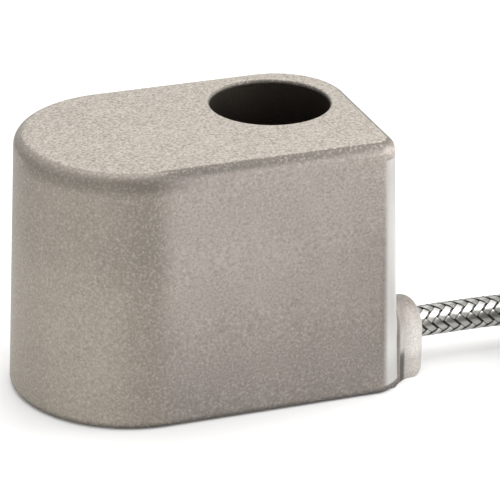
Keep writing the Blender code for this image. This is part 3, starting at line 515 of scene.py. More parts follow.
def smooth_route(points, spacing):
    """Evenly spaced points on a smooth curve through the given ones."""
    knots = [Vector(p) for p in points]
    ends = [2 * knots[0] - knots[1], *knots, 2 * knots[-1] - knots[-2]]
    fine = []
    for p0, p1, p2, p3 in zip(ends, ends[1:], ends[2:], ends[3:]):
        for i in range(CURVE_STEPS):
            t = i / CURVE_STEPS
            fine.append(0.5 * (2 * p1 + (p2 - p0) * t + (2 * p0 - 5 * p1 + 4 * p2 - p3) * t ** 2
                               + (3 * p1 - p0 - 3 * p2 + p3) * t ** 3))
    fine.append(knots[-1])
    fine = np.array([tuple(p) for p in fine])
    lengths = lengths_along(fine)
    count = max(2, round(lengths[-1] / spacing))
    targets = np.linspace(0.0, lengths[-1], count + 1)
    return np.column_stack([np.interp(targets, lengths, fine[:, i]) for i in range(3)])


def round_coil(radius, angle, z):
    """A point at a radius and an angle from the coil's axis."""
    return (COIL_X + radius * math.cos(angle), COIL_Y + radius * math.sin(angle), z)


def on_coil(x, y, lift):
    """A point over the coil's top, from the coil's centre in millimetres."""
    return (COIL_X + x * MM, COIL_Y + y * MM, COIL_TOP + GAP + lift)


def eased(share):
    return share * share * (3 - 2 * share)


def coil_points():
    """Turns wound clockwise from the lead: out to in, up a layer, in to out, and so on."""
    inward = range(COIL_TURNS_ACROSS)[::-1]
    places = [(k, layer) for layer in range(COIL_LAYERS) for k in (inward[::-1] if layer % 2 else inward)]
    points = []
    for (k, layer), (next_k, next_layer) in zip(places, places[1:]):
        for i in range(POINTS_A_TURN):
            travel = 360 * i / POINTS_A_TURN
            share = eased(min(max((travel - CROSSING[0]) / (CROSSING[1] - CROSSING[0]), 0.0), 1.0))
            radius = COIL_INNER_TURN_R + COIL_PITCH * (k + share * (next_k - k))
            z = COIL_FIRST_Z + COIL_LAYER_PITCH * (layer + share * (next_layer - layer))
            points.append(round_coil(radius, math.radians(TURN_START - travel), z))
    for travel in range(0, LAST_ARC, 5):
        points.append(round_coil(COIL_INNER_TURN_R, math.radians(TURN_START - travel), TOP_TURN_Z))
    return points


def sleeve_place():
    """Where the end sleeve starts on the coil, and its direction."""
    return Vector(on_coil(*SLEEVE_START, SLEEVE_R)), Vector((*SLEEVE_DIRECTION, 0.0)).normalized()


def tail_points():
    """The climb from the innermost turn over the coil and into the end sleeve."""
    points = []
    first_radius, first_angle, _ = TAIL_ROUTE[0]
    for i in range(1, CLIMB_STEPS):
        share = i / CLIMB_STEPS
        angle = math.radians(CLIMB_START + (first_angle - CLIMB_START) * share)
        radius = COIL_INNER_TURN_R + (first_radius * MM - COIL_INNER_TURN_R) * share
        points.append(round_coil(radius, angle, TOP_TURN_Z + (TAIL_Z - TOP_TURN_Z) * eased(share)))
    for radius, degrees, rise in TAIL_ROUTE:
        angle = math.radians(degrees)
        points.append(on_coil(radius * math.cos(angle), radius * math.sin(angle), CABLE_R + rise * MM))
    start, along = sleeve_place()
    return points + [start + along * GAP, start + along * (SLEEVE_LENGTH / 2 - GAP)]


def lead_points():
    points = [(BOSS_END_X - CABLE_INSERT + GAP, CABLE_Y, CABLE_Z), (BOSS_END_X, CABLE_Y, CABLE_Z)]
    points += [(BOSS_END_X + out * MM, CABLE_Y, height * MM) for out, height in LEAD_ROUTE]
    return points


def frames_along(path):
    """Two cross directions at each point, carried along a path without twist."""
    tangents = np.gradient(path, axis=0)
    tangents /= np.linalg.norm(tangents, axis=1)[:, None]
    side = np.array((0.0, -1.0, 0.0))
    sides = []
    for tangent in tangents:
        side = side - tangent * np.dot(side, tangent)
        side = side / np.linalg.norm(side)
        sides.append(side)
    sides = np.array(sides)
    return sides, np.cross(sides, tangents)


def mesh_piece(name, points, faces):
    mesh = bpy.data.meshes.new(name)
    mesh.from_pydata(points.tolist(), [], faces)
    mesh.shade_smooth()
    obj = bpy.data.objects.new(name, mesh)
    bpy.context.scene.collection.objects.link(obj)
    return obj


def skin(rows, width, base=0):
    """Faces of a closed tube made of rows of points, from a first index on."""
    faces = []
    for row in range(rows - 1):
        here = base + row * width
        after = here + width
        for i in range(width):
            j = (i + 1) % width
            faces.append((here + i, here + j, after + j, after + i))
    faces.append(tuple(range(base, base + width))[::-1])
    faces.append(tuple(range(base + (rows - 1) * width, base + rows * width)))
    return faces


def face_outward(obj):
    bm = bmesh.new()
    bm.from_mesh(obj.data)
    bmesh.ops.recalc_face_normals(bm, faces=bm.faces)
    bm.to_mesh(obj.data)
    bm.free()


def tube(name, path, radii, sides=24):
    """A closed tube along a path, with a UV map: metres along it, and turns round it."""
    radii = np.broadcast_to(radii, len(path))
    across, up = frames_along(path)
    turns = np.arange(sides) / sides * 2 * math.pi
    round_it = (np.cos(turns)[None, :, None] * across[:, None, :]
                + np.sin(turns)[None, :, None] * up[:, None, :])
    rings = path[:, None, :] + radii[:, None, None] * round_it
    obj = mesh_piece(name, rings.reshape(-1, 3), skin(len(path), sides))
    lengths = lengths_along(path)
    uv = obj.data.uv_layers.new(name="along_and_round")
    for polygon in obj.data.polygons[:(len(path) - 1) * sides]:
        ring, i = divmod(polygon.index, sides)
        corners = ((ring, i), (ring, i + 1), (ring + 1, i + 1), (ring + 1, i))
        for loop, (at, turn) in zip(polygon.loop_indices, corners):
            uv.data[loop].uv = (lengths[at], turn / sides)
    face_outward(obj)
    return obj


def woven_ribbons(path, start, end):
    """Flat ribbons of fine wires, two over and two under, laid round a path between two lengths."""
    lengths = lengths_along(path)
    axes = (path, *frames_along(path))
    columns = 2 * WIRES + 1
    cells_a_metre = 2 * CARRIERS / LAY_LENGTH
    samples = int(round((end - start) * cells_a_metre)) * RIBBON_SAMPLES + 1
    ridge = WIRE_RELIEF * (np.arange(columns) % 2)
    ridge[0] = ridge[-1] = -WIRE_RELIEF / 2
    shares = np.concatenate((np.linspace(0.0, 1.0, columns), (1.0, 0.0))) * 0.9 + 0.05
    points, faces, places = [], [], []
    for family in (0, 1):
        sign = 1 - 2 * family
        for ribbon in range(CARRIERS):
            mine = ribbon + 0.5 + np.linspace(-0.5, 0.5, columns) * RIBBON_SHARE
            first = mine[columns // 2] + sign * start * cells_a_metre
            other = first + sign * np.arange(samples) / RIBBON_SAMPLES
            swing = np.cos(math.pi / 2 * (other - (1 + 2 * family - ribbon)))
            wave = np.tanh(RIBBON_STEEPNESS * swing) / math.tanh(RIBBON_STEEPNESS)
            height = RIBBON_R + RIBBON_LIFT * wave
            grid_mine, grid_other = np.meshgrid(mine, other)
            a, b = (grid_mine, grid_other) if family == 0 else (grid_other, grid_mine)
            s = (b - a) / cells_a_metre
            turn = math.pi * (a + b) / CARRIERS + BRAID_PHASE
            top = height[:, None] + RIBBON_T / 2 - WIRE_RELIEF + ridge[None, :]
            low = np.repeat((height - RIBBON_T / 2)[:, None], 2, axis=1)
            s = np.concatenate((s, s[:, [-1, 0]]), axis=1)
            turn = np.concatenate((turn, turn[:, [-1, 0]]), axis=1)[..., None]
            radius = np.concatenate((top, low), axis=1)[..., None]
            centre, side, up = (np.stack([np.interp(s, lengths, axis[:, i]) for i in range(3)], axis=-1)
                                for axis in axes)
            grid = centre + radius * (np.cos(turn) * side + np.sin(turn) * up)
            base = sum(len(p) for p in points)
            points.append(grid.reshape(-1, 3))
            places += [(0.5 + 0.45 * lift, family + share) for lift in wave.tolist()
                       for share in shares.tolist()]
            faces += skin(*grid.shape[:2], base)
    obj = mesh_piece("cable_braid", np.concatenate(points), faces)
    uv = obj.data.uv_layers.new(name="height_and_across")
    for loop in obj.data.loops:
        uv.data[loop.index].uv = places[loop.vertex_index]
    face_outward(obj)
    return obj


# Far end of the cable and closing parts

def lay(obj, start, along):
    """Turn a form made along +Z so that it runs from a start along a direction."""
    deselect()
    turn = Vector(along).to_track_quat("Z", "Y").to_matrix().to_4x4()
    obj.data.transform(Matrix.Translation(Vector(start)) @ turn)


def rounded_box(name, low, high, corner, along, segments=8):
    """A box whose edges along one axis are rounded, left in object mode."""
    form = box(name, low, high)
    round_off(form, lambda at, way: abs(way[along]) > 0.9 * way.length, corner, segments)
    deselect()
    return form


def coil_tie():
    """Strap round the coil's section: ribbed tail, locking head with its slot, and the cut end in it."""
    half = TIE_WIDTH / 2
    low, high = TIE_T, COIL_TOP + GAP
    near, far = COIL_INNER_R - GAP, COIL_OUTER_R + GAP
    corner = CABLE_R + GAP
    strap = rounded_box("tie_strap", (near - TIE_T, -half, low - TIE_T), (far + TIE_T, half, high + TIE_T),
                        corner + TIE_T, 1)
    inside = rounded_box("inside_form", (near, -TIE_WIDTH, low), (far, TIE_WIDTH, high), corner, 1)
    combine(strap, inside, "DIFFERENCE")
    rib_half = 0.36 * TIE_WIDTH
    for i in range(int((far - near - 2 * corner - 2 * TIE_T) / RIB_STEP)):
        x = near + corner + TIE_T + i * RIB_STEP
        groove = box("groove_form", (x, -rib_half, high + 0.65 * TIE_T),
                     (x + 0.4 * RIB_STEP, rib_half, high + 2 * TIE_T))
        combine(strap, groove, "DIFFERENCE")
    out = far + TIE_T / 2
    middle = (low + high) / 2
    head_half = TIE_HEAD[2] / 2
    head = rounded_box("head_form", (out, -TIE_HEAD[1] / 2, middle - head_half),
                       (out + TIE_HEAD[0], TIE_HEAD[1] / 2, middle + head_half), 0.7 * MM, 0, 5)
    slot = rounded_box("slot_form", (out + 1.0 * MM, -half - GAP / 2, middle - 1.0 * MM),
                       (out + 2.3 * MM, half + GAP / 2, middle + TIE_HEAD[2]), 0.2 * MM, 2, 2)
    combine(head, slot, "DIFFERENCE")
    end_x = out + 1.35 * MM
    cut_end = rounded_box("end_form", (end_x, -half, middle - 1.5 * MM),
                          (end_x + TIE_T, half, middle + head_half + 0.6 * MM), 0.1 * MM, 2, 2)
    combine(head, cut_end, "UNION")
    combine(strap, head, "UNION")
    strap.data.transform(Matrix.Translation((COIL_X, COIL_Y, 0.0)) @ Matrix.Rotation(TIE_ANGLE, 4, "Z"))
    edges = strap.modifiers.new("edges", "BEVEL")
    edges.width = TIE_EDGE
    edges.segments = 2
    edges.limit_method = "ANGLE"
    edges.angle_limit = math.radians(40)
    apply_all(strap)
    smooth(strap)
    return strap


def end_sleeve(start, along):
    """Shrunk sleeve, necked down from the braid to the inner jacket."""
    mouth = CABLE_R + 0.15 * MM
    bore = JACKET_R + 0.1 * MM
    neck = bore + SLEEVE_WALL
    length = SLEEVE_LENGTH
    profile = [(mouth, 0.15 * MM), (mouth + 0.1 * MM, 0.0), (SLEEVE_R - 0.12 * MM, 0.0)]
    profile += [(SLEEVE_R, 0.2 * MM), (SLEEVE_R, 1.4 * MM), (SLEEVE_R - 0.08 * MM, 2.2 * MM)]
    profile += [(SLEEVE_R - 0.02 * MM, 3.0 * MM), (SLEEVE_R - 0.04 * MM, 0.42 * length)]
    profile += [(SLEEVE_R - 0.15 * MM, 0.47 * length), (neck + 0.35 * MM, 0.54 * length)]
    profile += [(neck + 0.08 * MM, 0.58 * length), (neck, 0.63 * length), (neck + 0.04 * MM, 0.8 * length)]
    profile += [(neck, length - 0.3 * MM), (neck - 0.1 * MM, length), (bore + 0.05 * MM, length)]
    profile += [(bore, length - 0.2 * MM), (bore, 0.6 * length), (mouth, 0.5 * length)]
    sleeve = turned("shrunk_sleeve", profile, sides=48, ring=True)
    lay(sleeve, start, along)
    smooth(sleeve, 50)
    return sleeve


def twisted_screen(name, route):
    """Strands laid round a middle one."""
    strand = SCREEN_D / 6
    across, up = frames_along(route)
    strands = [tube(name, route, strand * 0.98, 8)]
    for i in range(SCREEN_STRANDS):
        turn = 2 * math.pi * (lengths_along(route) / SCREEN_LAY + i / SCREEN_STRANDS)
        path = route + 2 * strand * (np.cos(turn)[:, None] * across + np.sin(turn)[:, None] * up)
        strands.append(tube(f"strand_{i}", path, strand * 0.98, 8))
    only(strands[0])
    for piece in strands:
        piece.select_set(True)
    bpy.ops.object.join()
    return strands[0]


def wire_ferrule(name, start, along):
    """Wire-end ferrule: funnel collar, crimped barrel and the wires' cut ends in it."""
    radius = WIRE_FERRULE_D / 2
    collar = radius + GAP
    high = WIRE_FERRULE_LENGTH
    barrel = high / 3
    profile = [(collar - 0.08 * MM, 0.0), (collar, 0.08 * MM), (collar, barrel - GAP), (radius, barrel)]
    profile += [(radius, barrel + 0.3 * MM + 0.08 * i * (2 * barrel - 0.5 * MM)) for i in range(12)]
    profile += [(radius - 0.06 * MM, high), (radius - 0.2 * MM, high)]
    profile += [(radius - 0.2 * MM, high - 0.25 * MM)]
    ferrule = turned(name, profile, sides=32)
    deselect()
    for vertex in ferrule.data.vertices:
        x, y, z = vertex.co
        share = (z - barrel - 0.7 * MM) / (high / 2)
        if 0.0 < share < 1.0 and math.hypot(x, y) > 0.9 * radius:
            squash = math.sin(math.pi * share) ** 0.5 * abs(math.cos(2 * math.atan2(y, x))) ** 3
            notch = (1 + math.cos(2 * math.pi * NOTCHES * share)) / 2
            left = 1 - CRIMP_DEPTH * squash - NOTCH_DEPTH * notch
            vertex.co = (x * left, y * left, z)
    lay(ferrule, start, along)
    smooth(ferrule, 40)
    return ferrule


def base_cover():
    """Turned stepped plug with fine turning grooves and a centre mark on its outer face."""
    tapped_end = COVER_TOP - SCREW_BITE - GAP
    plug_r = CHAMBER_R - GAP
    profile = [(0.35 * MM, COVER_RECESS + 0.35 * MM), (0.7 * MM, COVER_RECESS)]
    radius = 2 * TURNING_STEP
    while radius < COVER_RIM_R - 1.2 * MM:
        profile += [(radius - TURNING_WIDTH, COVER_RECESS), (radius, COVER_RECESS + TURNING_DEPTH),
                    (radius + TURNING_WIDTH, COVER_RECESS)]
        radius += TURNING_STEP
    profile += [(COVER_RIM_R - COVER_CHAMFER, COVER_RECESS), (COVER_RIM_R, COVER_RECESS + COVER_CHAMFER)]
    profile += [(COVER_RIM_R, COVER_RIM_TOP), (plug_r, COVER_RIM_TOP), (plug_r, COVER_TOP - COVER_CHAMFER)]
    profile += [(plug_r - COVER_CHAMFER, COVER_TOP), (SCREW_HOLE_R, COVER_TOP), (SCREW_HOLE_R, tapped_end)]
    cover = turned("base_plug", profile, (CHAMBER_X, 0.0))
    smooth(cover, 25)
    return cover


def weld_bead():
    """Rippled weld that closes the ring between the cover and the casting."""
    middle = (COVER_RIM_R + SHOULDER_R) / 2
    height = COVER_RECESS + 0.12 * MM
    section = arc(0.0, 0.0, WELD_R, 0, 345, 23)
    profile = [(middle + 1.5 * out, height + up) for out, up in section]
    bead = turned("weld_bead", profile, (CHAMBER_X, 0.0), 6 * WELD_RIPPLES, ring=True)
    deselect()
    for vertex in bead.data.vertices:
        x, y, z = vertex.co
        way = math.atan2(y, x - CHAMBER_X)
        out = math.hypot(x - CHAMBER_X, y) - middle
        phase = way * WELD_RIPPLES + 6.0 * (out / WELD_R) ** 2
        vertex.co.z = max(z + RIPPLE_HEIGHT * math.sin(phase), 0.01 * MM)
    smooth(bead, 60, weighted=False)
    return bead


# Materials

class Socket:
    """An output of a node. Arithmetic on it adds Math nodes to its material."""

    def __init__(self, finish, output):
        self.finish = finish
        self.output = output

    def __add__(self, other):
        return self.finish.maths("ADD", self, other)

    def __radd__(self, other):
        return self.finish.maths("ADD", other, self)

    def __sub__(self, other):
        return self.finish.maths("SUBTRACT", self, other)

    def __rsub__(self, other):
        return self.finish.maths("SUBTRACT", other, self)

    def __mul__(self, other):
        return self.finish.maths("MULTIPLY", self, other)

    def __rmul__(self, other):
        return self.finish.maths("MULTIPLY", other, self)

    def __mod__(self, other):
        return self.finish.maths("FLOORED_MODULO", self, other)


class Finish:
    """A material or world, and the node forms they share."""

    def __init__(self, name, kind="materials"):
        self.material = getattr(bpy.data, kind).new(name)
        self.material.use_nodes = True
        self.tree = self.material.node_tree
        self.tree.nodes.clear()

    def node(self, kind, settings=None, sockets=None, output=0):
        made = self.tree.nodes.new(f"ShaderNode{kind}")
        for key, value in (settings or {}).items():
            setattr(made, key, value)
        for key, value in (sockets or {}).items():
            if isinstance(value, Socket):
                self.tree.links.new(value.output, made.inputs[key])
            elif value is not None:
                made.inputs[key].default_value = value
        return None if output is None else Socket(self, made.outputs[output])

    def maths(self, operation, *values):
        return self.node("Math", {"operation": operation}, dict(enumerate(values)))

    def mix(self, share, first, second):
        """A colour between two, which are colours or sockets."""
        first, second = ((*c, 1.0) if isinstance(c, tuple) else c for c in (first, second))
        return self.node("Mix", {"data_type": "RGBA"}, {0: share, 6: first, 7: second}, output=2)

    def scaled(self, colour, level):
        """A colour made darker or lighter by a level."""
        return self.node("VectorMath", {"operation": "SCALE"}, {0: colour, "Scale": level})

    def place(self):
        return self.node("TexCoord", output="Object")

    def parts(self, vector):
        split = self.node("SeparateXYZ", {}, {0: vector}).output.node.outputs
        return [Socket(self, split[i]) for i in range(3)]

    def distance(self, x, y):
        return self.maths("SQRT", x * x + y * y)

    def step(self, value, start, width):
        """0 below start and 1 above it, over a soft width. A negative width turns it round."""
        return self.node("MapRange", {"interpolation_type": "SMOOTHSTEP"},
                         {"Value": value, "From Min": start, "From Max": start + width})

    def noise(self, size, detail=2.0, roughness=0.5):
        """Noise whose features are about so many metres across."""
        return self.node("TexNoise", {}, {"Vector": self.place(), "Scale": 1.0 / size,
                                          "Detail": detail, "Roughness": roughness})

    def bump(self, height, depth):
        """A bump that is so many metres deep for a height from 0 to 1."""
        return self.node("Bump", {}, {"Height": height, "Distance": depth, "Strength": 1.0})

    def surface(self, colour, roughness, metallic, normal=None):
        sockets = {"Base Color": colour, "Roughness": roughness, "Metallic": metallic, "Normal": normal}
        return self.done(self.node("BsdfPrincipled", {}, sockets))

    def done(self, shader, kind="OutputMaterial"):
        self.node(kind, {}, {"Surface": shader}, output=None)
        return self.material


def cast_steel():
    """Blasted stainless casting: sparkling grain with painted glints, painted light on the top, painted
    shade on the round end, walls and bore, and painted highlights on the boss and the unbumped front corner.
    """
    finish = Finish("blasted_casting")
    x, y, z = finish.parts(finish.place())
    grain = finish.noise(0.26 * MM, 3.0, 0.65)
    fine = finish.noise(0.11 * MM, 2.0, 0.6)
    patches = finish.noise(5.0 * MM, 3.0, 0.55)
    speckle = finish.noise(0.3 * MM, 2.0, 0.6)
    on_top = finish.step(z, HEIGHT - 0.6 * TOP_EDGE_R, 0.5 * TOP_EDGE_R)
    left_part = finish.step(x, CHAMBER_X + 1.6 * MM, -3.4 * MM)
    round_end = left_part * (1 - on_top)
    # Shaded and lit copies of one steel: painted shade on the round end, painted light on the top
    tint = finish.mix(round_end, WALL_TONE, ROUND_END_SHADE_TONE)
    tint = finish.mix(on_top, tint, TOP_LIT_TONE)
    # Random patches of tone, then painted shade on part of the round end, the boss's top, the rim, the band
    # under it, the foot, the front walls towards the bottom and the left edge, and painted light on the
    # lower part of the round end
    shade = 0.9 + 0.2 * patches
    shade = shade * (1 - 0.2 * round_end * finish.step(x, CHAMBER_X - 8.0 * MM, 6.0 * MM))
    boss_top = finish.step(x, WALL_X + 0.4 * MM, 0.6 * MM) * finish.step(z, CABLE_Z + 0.8 * MM, 2.0 * MM)
    shade = shade * (1 - 0.31 * boss_top)
    depth = HEIGHT - z
    below_rim = depth - TOP_EDGE_R
    band = finish.step(below_rim, -0.7 * MM, 0.5 * MM) * finish.step(below_rim, 1.5 * MM, -1.3 * MM)
    band = band * finish.step(y, 0.0, -4.0 * MM) * finish.step(x, CHAMBER_X + 5.0 * MM, -5.0 * MM)
    foot = finish.step(z, 1.0 * MM, -0.6 * MM)
    rim = finish.step(depth, 0.03 * MM, 0.1 * MM) * finish.step(depth, 1.4 * MM, -0.9 * MM)
    rim_shade = (0.5 + 0.14 * grain - 0.3 * left_part) * rim
    shade = shade * (1 - 0.3 * band) * (1 - 0.35 * foot) * (1 - rim_shade)
    front = (1 - round_end) * finish.step(x, WALL_X + 0.5 * MM, -0.5 * MM)
    shade = shade * (1 - 0.26 * front * finish.step(z, 0.6 * HEIGHT, -0.6 * HEIGHT))
    shade = shade * (1 + 0.14 * round_end * finish.step(z, 0.7 * HEIGHT, -0.22 * HEIGHT))
    shade = shade * (1 - 0.1 * finish.step(x, LEFT_X + 1.8 * MM, -1.8 * MM) * (1 - on_top))
    colour = finish.scaled(tint, shade)
    # Grain, calmer on the rim and in the band; its bright specks are partly painted glints, and bright and
    # dark specks are painted stronger on the top, where light falls
    calm = (1 - 0.5 * rim) * (1 - 0.3 * band)
    sparkle = finish.step(speckle, 0.46, 0.3) * (0.44 + 0.5 * on_top) * calm
    colour = finish.mix(sparkle, colour, GRAIN_AND_GLINT_TONE)
    pits = finish.step(speckle, 0.5, -0.24) * (0.46 + 0.46 * on_top) * calm
    colour = finish.mix(pits, colour, DARK_GRAIN_TONE)
    # Painted highlight on the boss, painted shade in the groove at its root, and painted shade in the bore
    # Painted highlight on the boss, fading at its foot and brighter towards its end
    beside = finish.step(finish.maths("ABSOLUTE", y - CABLE_Y), BOSS_R + BOSS_BLEND, -0.5 * MM)
    boss = finish.step(x, WALL_X - 0.1 * MM, 0.6 * MM) * beside
    boss = boss * finish.step(z, CABLE_Z + 3.6 * MM, -3.5 * MM)
    boss = boss * (1 - 0.4 * finish.step(z, 3.6 * MM, -1.5 * MM))
    boss = boss * (0.7 + 0.3 * finish.step(grain, 0.42, 0.16))
    boss_highlight_level = 0.72 + 0.22 * finish.step(x, WALL_X + 0.8 * MM, 2.0 * MM)
    colour = finish.mix(boss, colour, finish.scaled(BOSS_HIGHLIGHT_TONE, boss_highlight_level))
    # Painted shade in the groove at the boss's root
    groove = finish.step(x, WALL_X + 0.1 * MM, 0.25 * MM) * finish.step(x, WALL_X + 1.2 * MM, -0.4 * MM)
    groove = groove * finish.step(z, 4.3 * MM, -1.2 * MM) * beside
    colour = finish.scaled(colour, 1 - 0.72 * groove)
    # Painted shade in the bore
    bore = finish.step(finish.distance(x - BORE_X, y - BORE_Y), BORE_R + 0.15 * MM, -0.1 * MM)
    bore = bore * finish.step(z, HEIGHT - 1.2 * BORE_EDGE, -0.1 * MM)
    bore = bore * finish.step(z, 2 * BOLT_HOLE_CHAMFER, 3.0 * MM)
    colour = finish.mix(bore, colour, BORE_SHADE_TONE)
    # Painted highlight on the front corner, left unbumped, its painted level lower towards the top, at the
    # foot and up its right part
    corner_x = x - (RIGHT_X - FRONT_CORNER_R)
    corner_y = (FRONT_CORNER_R - HALF_WIDTH) - y
    growth = depth * math.tan(DRAFT)
    off = finish.maths("ABSOLUTE", finish.distance(corner_x, corner_y) - growth - FRONT_CORNER_R)
    turn = finish.maths("ARCTAN2", corner_x, corner_y)
    ground = finish.step(turn, math.radians(8), math.radians(18))
    ground = ground * finish.step(turn, math.radians(74), math.radians(-10))
    ground = ground * finish.step(off, 0.12 * MM, -0.05 * MM)
    ground = ground * finish.step(z, HEIGHT - 1.3 * TOP_EDGE_R, -0.3 * MM)
    ground = ground * finish.step(z, BASE_EDGE_R, 0.2 * MM)
    level = 0.86 - 0.36 * finish.step(z, 0.45 * HEIGHT, 0.45 * HEIGHT)
    level = level - 0.2 * finish.step(z, 0.2 * HEIGHT, -0.15 * HEIGHT)
    right_part = finish.step(turn, math.radians(30), math.radians(40))
    level = level * (1 - 0.3 * right_part * finish.step(z, 0.3 * HEIGHT, 0.3 * HEIGHT))
    colour = finish.mix(ground, colour, finish.scaled(CORNER_HIGHLIGHT_TONE, level))
    rough = (1 - ground) * (0.4 + 0.3 * grain + 0.15 * boss) + ground * 0.6
    normal = finish.bump((grain * 0.75 + fine * 0.25) * (1 - ground), 0.11 * MM)
    return finish.surface(colour, rough, 1 - 0.6 * boss, normal)


def braid_wire():
    """Bright wire in ribbons, with painted shade where they pass under, at their edges and on the ribbons of
    the other way.
    """
    finish = Finish("braid_wire")
    height, across, _ = finish.parts(finish.node("UVMap", {"uv_map": "height_and_across"}))
    other_way = finish.maths("FLOOR", across)
    share = finish.maths("ABSOLUTE", finish.maths("FRACT", across) - 0.5) * 2
    streak = finish.noise(0.35 * MM, 2.0, 0.5)
    bright = finish.mix(streak, WIRE_DULL, WIRE_BRIGHT)
    # Painted shade on the ribbons of the other way, a shaded copy of the same wire
    colour = finish.mix(other_way * 0.6, bright, WIRE_OTHER_WAY_SHADE)
    # Painted shade where ribbons pass under and at their edges
    under_and_edge_shade = finish.maths("MAXIMUM", finish.step(share, 0.68, 0.2), finish.step(height, 0.6, -0.25))
    colour = finish.mix(under_and_edge_shade, colour, WIRE_GAP_SHADE)
    return finish.surface(colour, 0.24 + 0.14 * streak, 1.0)


def braid_cable(covered):
    """The same braid drawn on a tube from its UV map, with painted shade on the other way's ribbons and in
    their gaps, and bedding painted dark as shade up to the covered length.
    """
    finish = Finish("braided_cable")
    along, around, _ = finish.parts(finish.node("UVMap", {"uv_map": "along_and_round"}))
    a = around * CARRIERS - along * (CARRIERS / LAY_LENGTH)
    b = around * CARRIERS + along * (CARRIERS / LAY_LENGTH)
    cells = finish.maths("FLOOR", a) + finish.maths("FLOOR", b)
    a_over = finish.maths("LESS_THAN", cells % 4, 1.5)
    wires = a_over * finish.maths("FRACT", a) + (1 - a_over) * finish.maths("FRACT", b)
    fine = finish.maths("SINE", wires * (2 * math.pi * WIRES))
    gap = finish.step(finish.maths("ABSOLUTE", wires - 0.5), 0.4, 0.07)
    bedding = finish.step(along, covered, -1.0 * MM)
    # Painted shade on the ribbons of the other way
    bright = finish.mix(a_over, DRAWN_OTHER_WAY_SHADE, DRAWN_OVER)
    # Painted shade in the gaps between ribbons and on the bedding
    colour = finish.mix(finish.maths("MAXIMUM", gap, bedding), bright, BEDDING_SHADE_TONE)
    height = (1 - gap) * (0.8 + 0.2 * fine)
    normal = finish.bump(height * (1 - bedding), 0.12 * MM)
    return finish.surface(colour, 0.3 + 0.3 * bedding, 1 - bedding, normal)


def plain_metal(name, colour, roughness):
    finish = Finish(name)
    noise = finish.noise(0.15 * MM, 3.0, 0.6)
    tone = finish.mix(noise, tuple(0.88 * c for c in colour), tuple(min(1.08 * c, 1.0) for c in colour))
    return finish.surface(tone, roughness + 0.12 * noise, 1.0, finish.bump(noise, 0.004 * MM))


def turned_metal(name, colour, roughness, centre):
    """Fine turned rings round an upright axis."""
    finish = Finish(name)
    centred = finish.node("Mapping", {}, {"Vector": finish.place(),
                                          "Location": (-centre[0], -centre[1], 0.0)})
    rings = finish.node("TexWave", {"wave_type": "RINGS", "rings_direction": "Z"},
                        {"Vector": centred, "Scale": 1.6 / MM, "Distortion": 0.3})
    noise = finish.noise(0.4 * MM, 3.0, 0.6)
    tone = finish.mix(noise, tuple(0.9 * c for c in colour), colour)
    return finish.surface(tone, roughness + 0.12 * rings, 1.0, finish.bump(rings, 0.006 * MM))


def moulded(name, colour, roughness, grain=0.25 * MM, depth=0.006 * MM):
    finish = Finish(name)
    noise = finish.noise(grain, 3.0, 0.55)
    tone = finish.mix(noise, tuple(0.85 * c for c in colour), tuple(min(1.12 * c, 1.0) for c in colour))
    return finish.surface(tone, roughness + 0.15 * noise, 0.0, finish.bump(noise, depth))


def printed_board():
    """Green solder mask over angular copper tracks."""
    finish = Finish("printed_board")
    noise = finish.noise(0.3 * MM, 2.0, 0.5)
    cells = finish.node("TexVoronoi", {"feature": "DISTANCE_TO_EDGE"},
                        {"Vector": finish.place(), "Scale": 0.6 / MM, "Randomness": 0.55}, output="Distance")
    track = finish.step(cells, 0.1, -0.04)
    tone = finish.mix(noise, (0.03, 0.16, 0.07), (0.045, 0.21, 0.095))
    colour = finish.mix(track * 0.7, tone, (0.1, 0.36, 0.13))
    return finish.surface(colour, 0.3 + 0.1 * noise, 0.0, finish.bump(track, 0.03 * MM))


def all_materials(covered):
    return {
        "cast_steel": cast_steel(),
        "machined_steel": turned_metal("turned_steel", TURNED_TONE, 0.28, (CHAMBER_X, 0.0)),
        "ceramic": moulded("ground_ceramic", (0.86, 0.85, 0.81), 0.4),
        "piezo": moulded("piezo_ceramic", (0.66, 0.58, 0.43), 0.5),
        "tungsten": plain_metal("ground_tungsten", (0.36, 0.36, 0.38), 0.3),
        "tinned": plain_metal("tin_plate", (0.72, 0.72, 0.70), 0.28),
        "board": printed_board(),
        "chip": moulded("chip_body", (0.035, 0.035, 0.04), 0.45),
        "capacitor": moulded("fired_capacitor", (0.58, 0.42, 0.27), 0.45),
        "polymer": moulded("turned_polymer", (0.72, 0.64, 0.50), 0.45),
        "seal": moulded("rubber_seal", (0.06, 0.06, 0.065), 0.6),
        "jacket": moulded("extruded_jacket", (0.82, 0.82, 0.80), 0.4),
        "red": moulded("red_insulation", (0.6, 0.05, 0.04), 0.4),
        "black": moulded("black_insulation", (0.025, 0.025, 0.025), 0.45),
        "braid": braid_cable(covered),
        "braid_wire": braid_wire(),
        "sleeve": moulded("shrunk_sleeve", (0.02, 0.02, 0.021), 0.35, 0.6 * MM, 0.02 * MM),
        "weld": plain_metal("weld", (0.5, 0.47, 0.42), 0.35),
    }


# Studio

def studio():
    """Pale floor in a plain white room."""
    deselect()
    bpy.ops.mesh.primitive_plane_add(size=FLOOR_SIZE, location=(0.0, 0.0, -FLOOR_DROP))
    floor = started("floor")
    bpy.ops.mesh.subdivide(number_cuts=4)
    deselect()
    finish = Finish("pale_floor")
    floor.data.materials.append(finish.done(finish.node("BsdfDiffuse", {}, {"Color": FLOOR_COLOUR})))
    sky = Finish("studio", "worlds")
    background = sky.node("Background", {}, {"Color": WHITE, "Strength": 1.0})
    bpy.context.scene.world = sky.done(background, "OutputWorld")
    bpy.context.scene.view_settings.view_transform = "Standard"


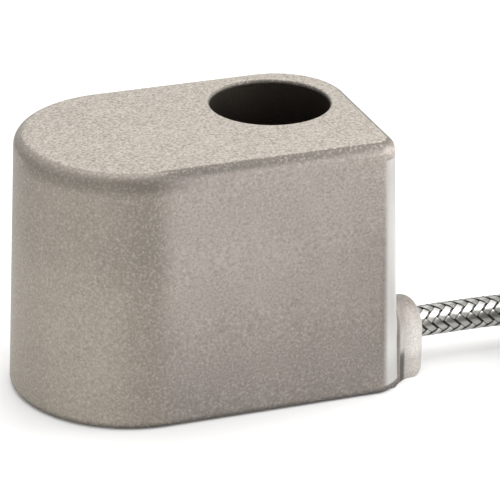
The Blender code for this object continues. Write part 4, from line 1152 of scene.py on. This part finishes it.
def lamp(name, place, target, size, watts):
    data = bpy.data.lights.new(name, "AREA")
    data.shape = "RECTANGLE"
    data.size = data.size_y = size
    data.energy = watts
    obj = bpy.data.objects.new(name, data)
    obj.location = place
    obj.rotation_euler = (Vector(place) - Vector(target)).to_track_quat("Z", "Y").to_euler()
    bpy.context.scene.collection.objects.link(obj)


photo_camera()

coil_start, *coil = coil_points()
lead = smooth_route([*lead_points(), coil_start], 0.5 * MM)
tail = smooth_route([coil[-1], *tail_points()], 1.0 * MM)[1:]
cable_path = np.concatenate((lead, coil, tail))
cable_lengths = lengths_along(cable_path)
tie_length = cable_lengths[len(lead) - 1] + TIE_TRAVEL * COIL_OUTER_TURN_R
materials = all_materials(tie_length)
radii = np.where(cable_lengths < tie_length, BEDDING_R, CABLE_R)
cable = finished(tube("cable", cable_path, radii, 16), materials["braid"], "braid",
                 "cable_lead", "cable_coil", "cable_tail")
ribbons = woven_ribbons(cable_path, CABLE_INSERT - BRAID_BEHIND, tie_length)
finished(ribbons, materials["braid_wire"], "braid")

finished(casting(), materials["cast_steel"], "cast_steel", "housing")

for subpart in frame["record"]["subparts"]:
    node = frame["nodes"][subpart["node"]]
    for material_slot in node.material_slots:
        material_slot.material = materials[subpart["material_slot"]]

start, along = sleeve_place()
finished(coil_tie(), materials["black"], "black", "coil_tie")
finished(end_sleeve(start, along), materials["sleeve"], "black", "end_sleeve")
jacket = [start + along * (SLEEVE_LENGTH / 2), start + along * (SLEEVE_LENGTH - GAP)]
jacket += [on_coil(x, y, JACKET_R + rise * MM) for x, y, rise in TAIL_JACKET_ROUTE]
jacket = smooth_route(jacket, 0.4 * MM)
jacket_radii = np.full(len(jacket), JACKET_R)
jacket_radii[[0, -1]] = 0.92 * JACKET_R
finished(tube("stripped_jacket", jacket, jacket_radii, 32), materials["jacket"], "jacket",
                        "tail_jacket")
for name, slot, width in LEADS:
    points = [on_coil(x, y, WIRE_FERRULE_D / 2 + GAP) for x, y in LEAD_ENDS[name]]
    route = smooth_route(points, 0.3 * MM)
    if name == "screen":
        lead_piece = twisted_screen("flying_screen", route)
    else:
        lead_piece = tube(f"flying_{name}", route, width / 2, 20)
    finished(lead_piece, materials[slot], slot, f"lead_{name}")
    way = (Vector(points[-1]) - Vector(points[-2])).normalized()
    ferrule = wire_ferrule(f"crimped_{name}", Vector(points[-1]) + way * GAP, way)
    finished(ferrule, materials["tinned"], "tinned", f"ferrule_{name}")

finished(base_cover(), materials["machined_steel"], "machined_steel", "base_cover")
finished(weld_bead(), materials["weld"], "machined_steel")

studio()
for name, (place, aim, size, watts) in LAMPS.items():
    lamp(name, place, aim, size, watts)
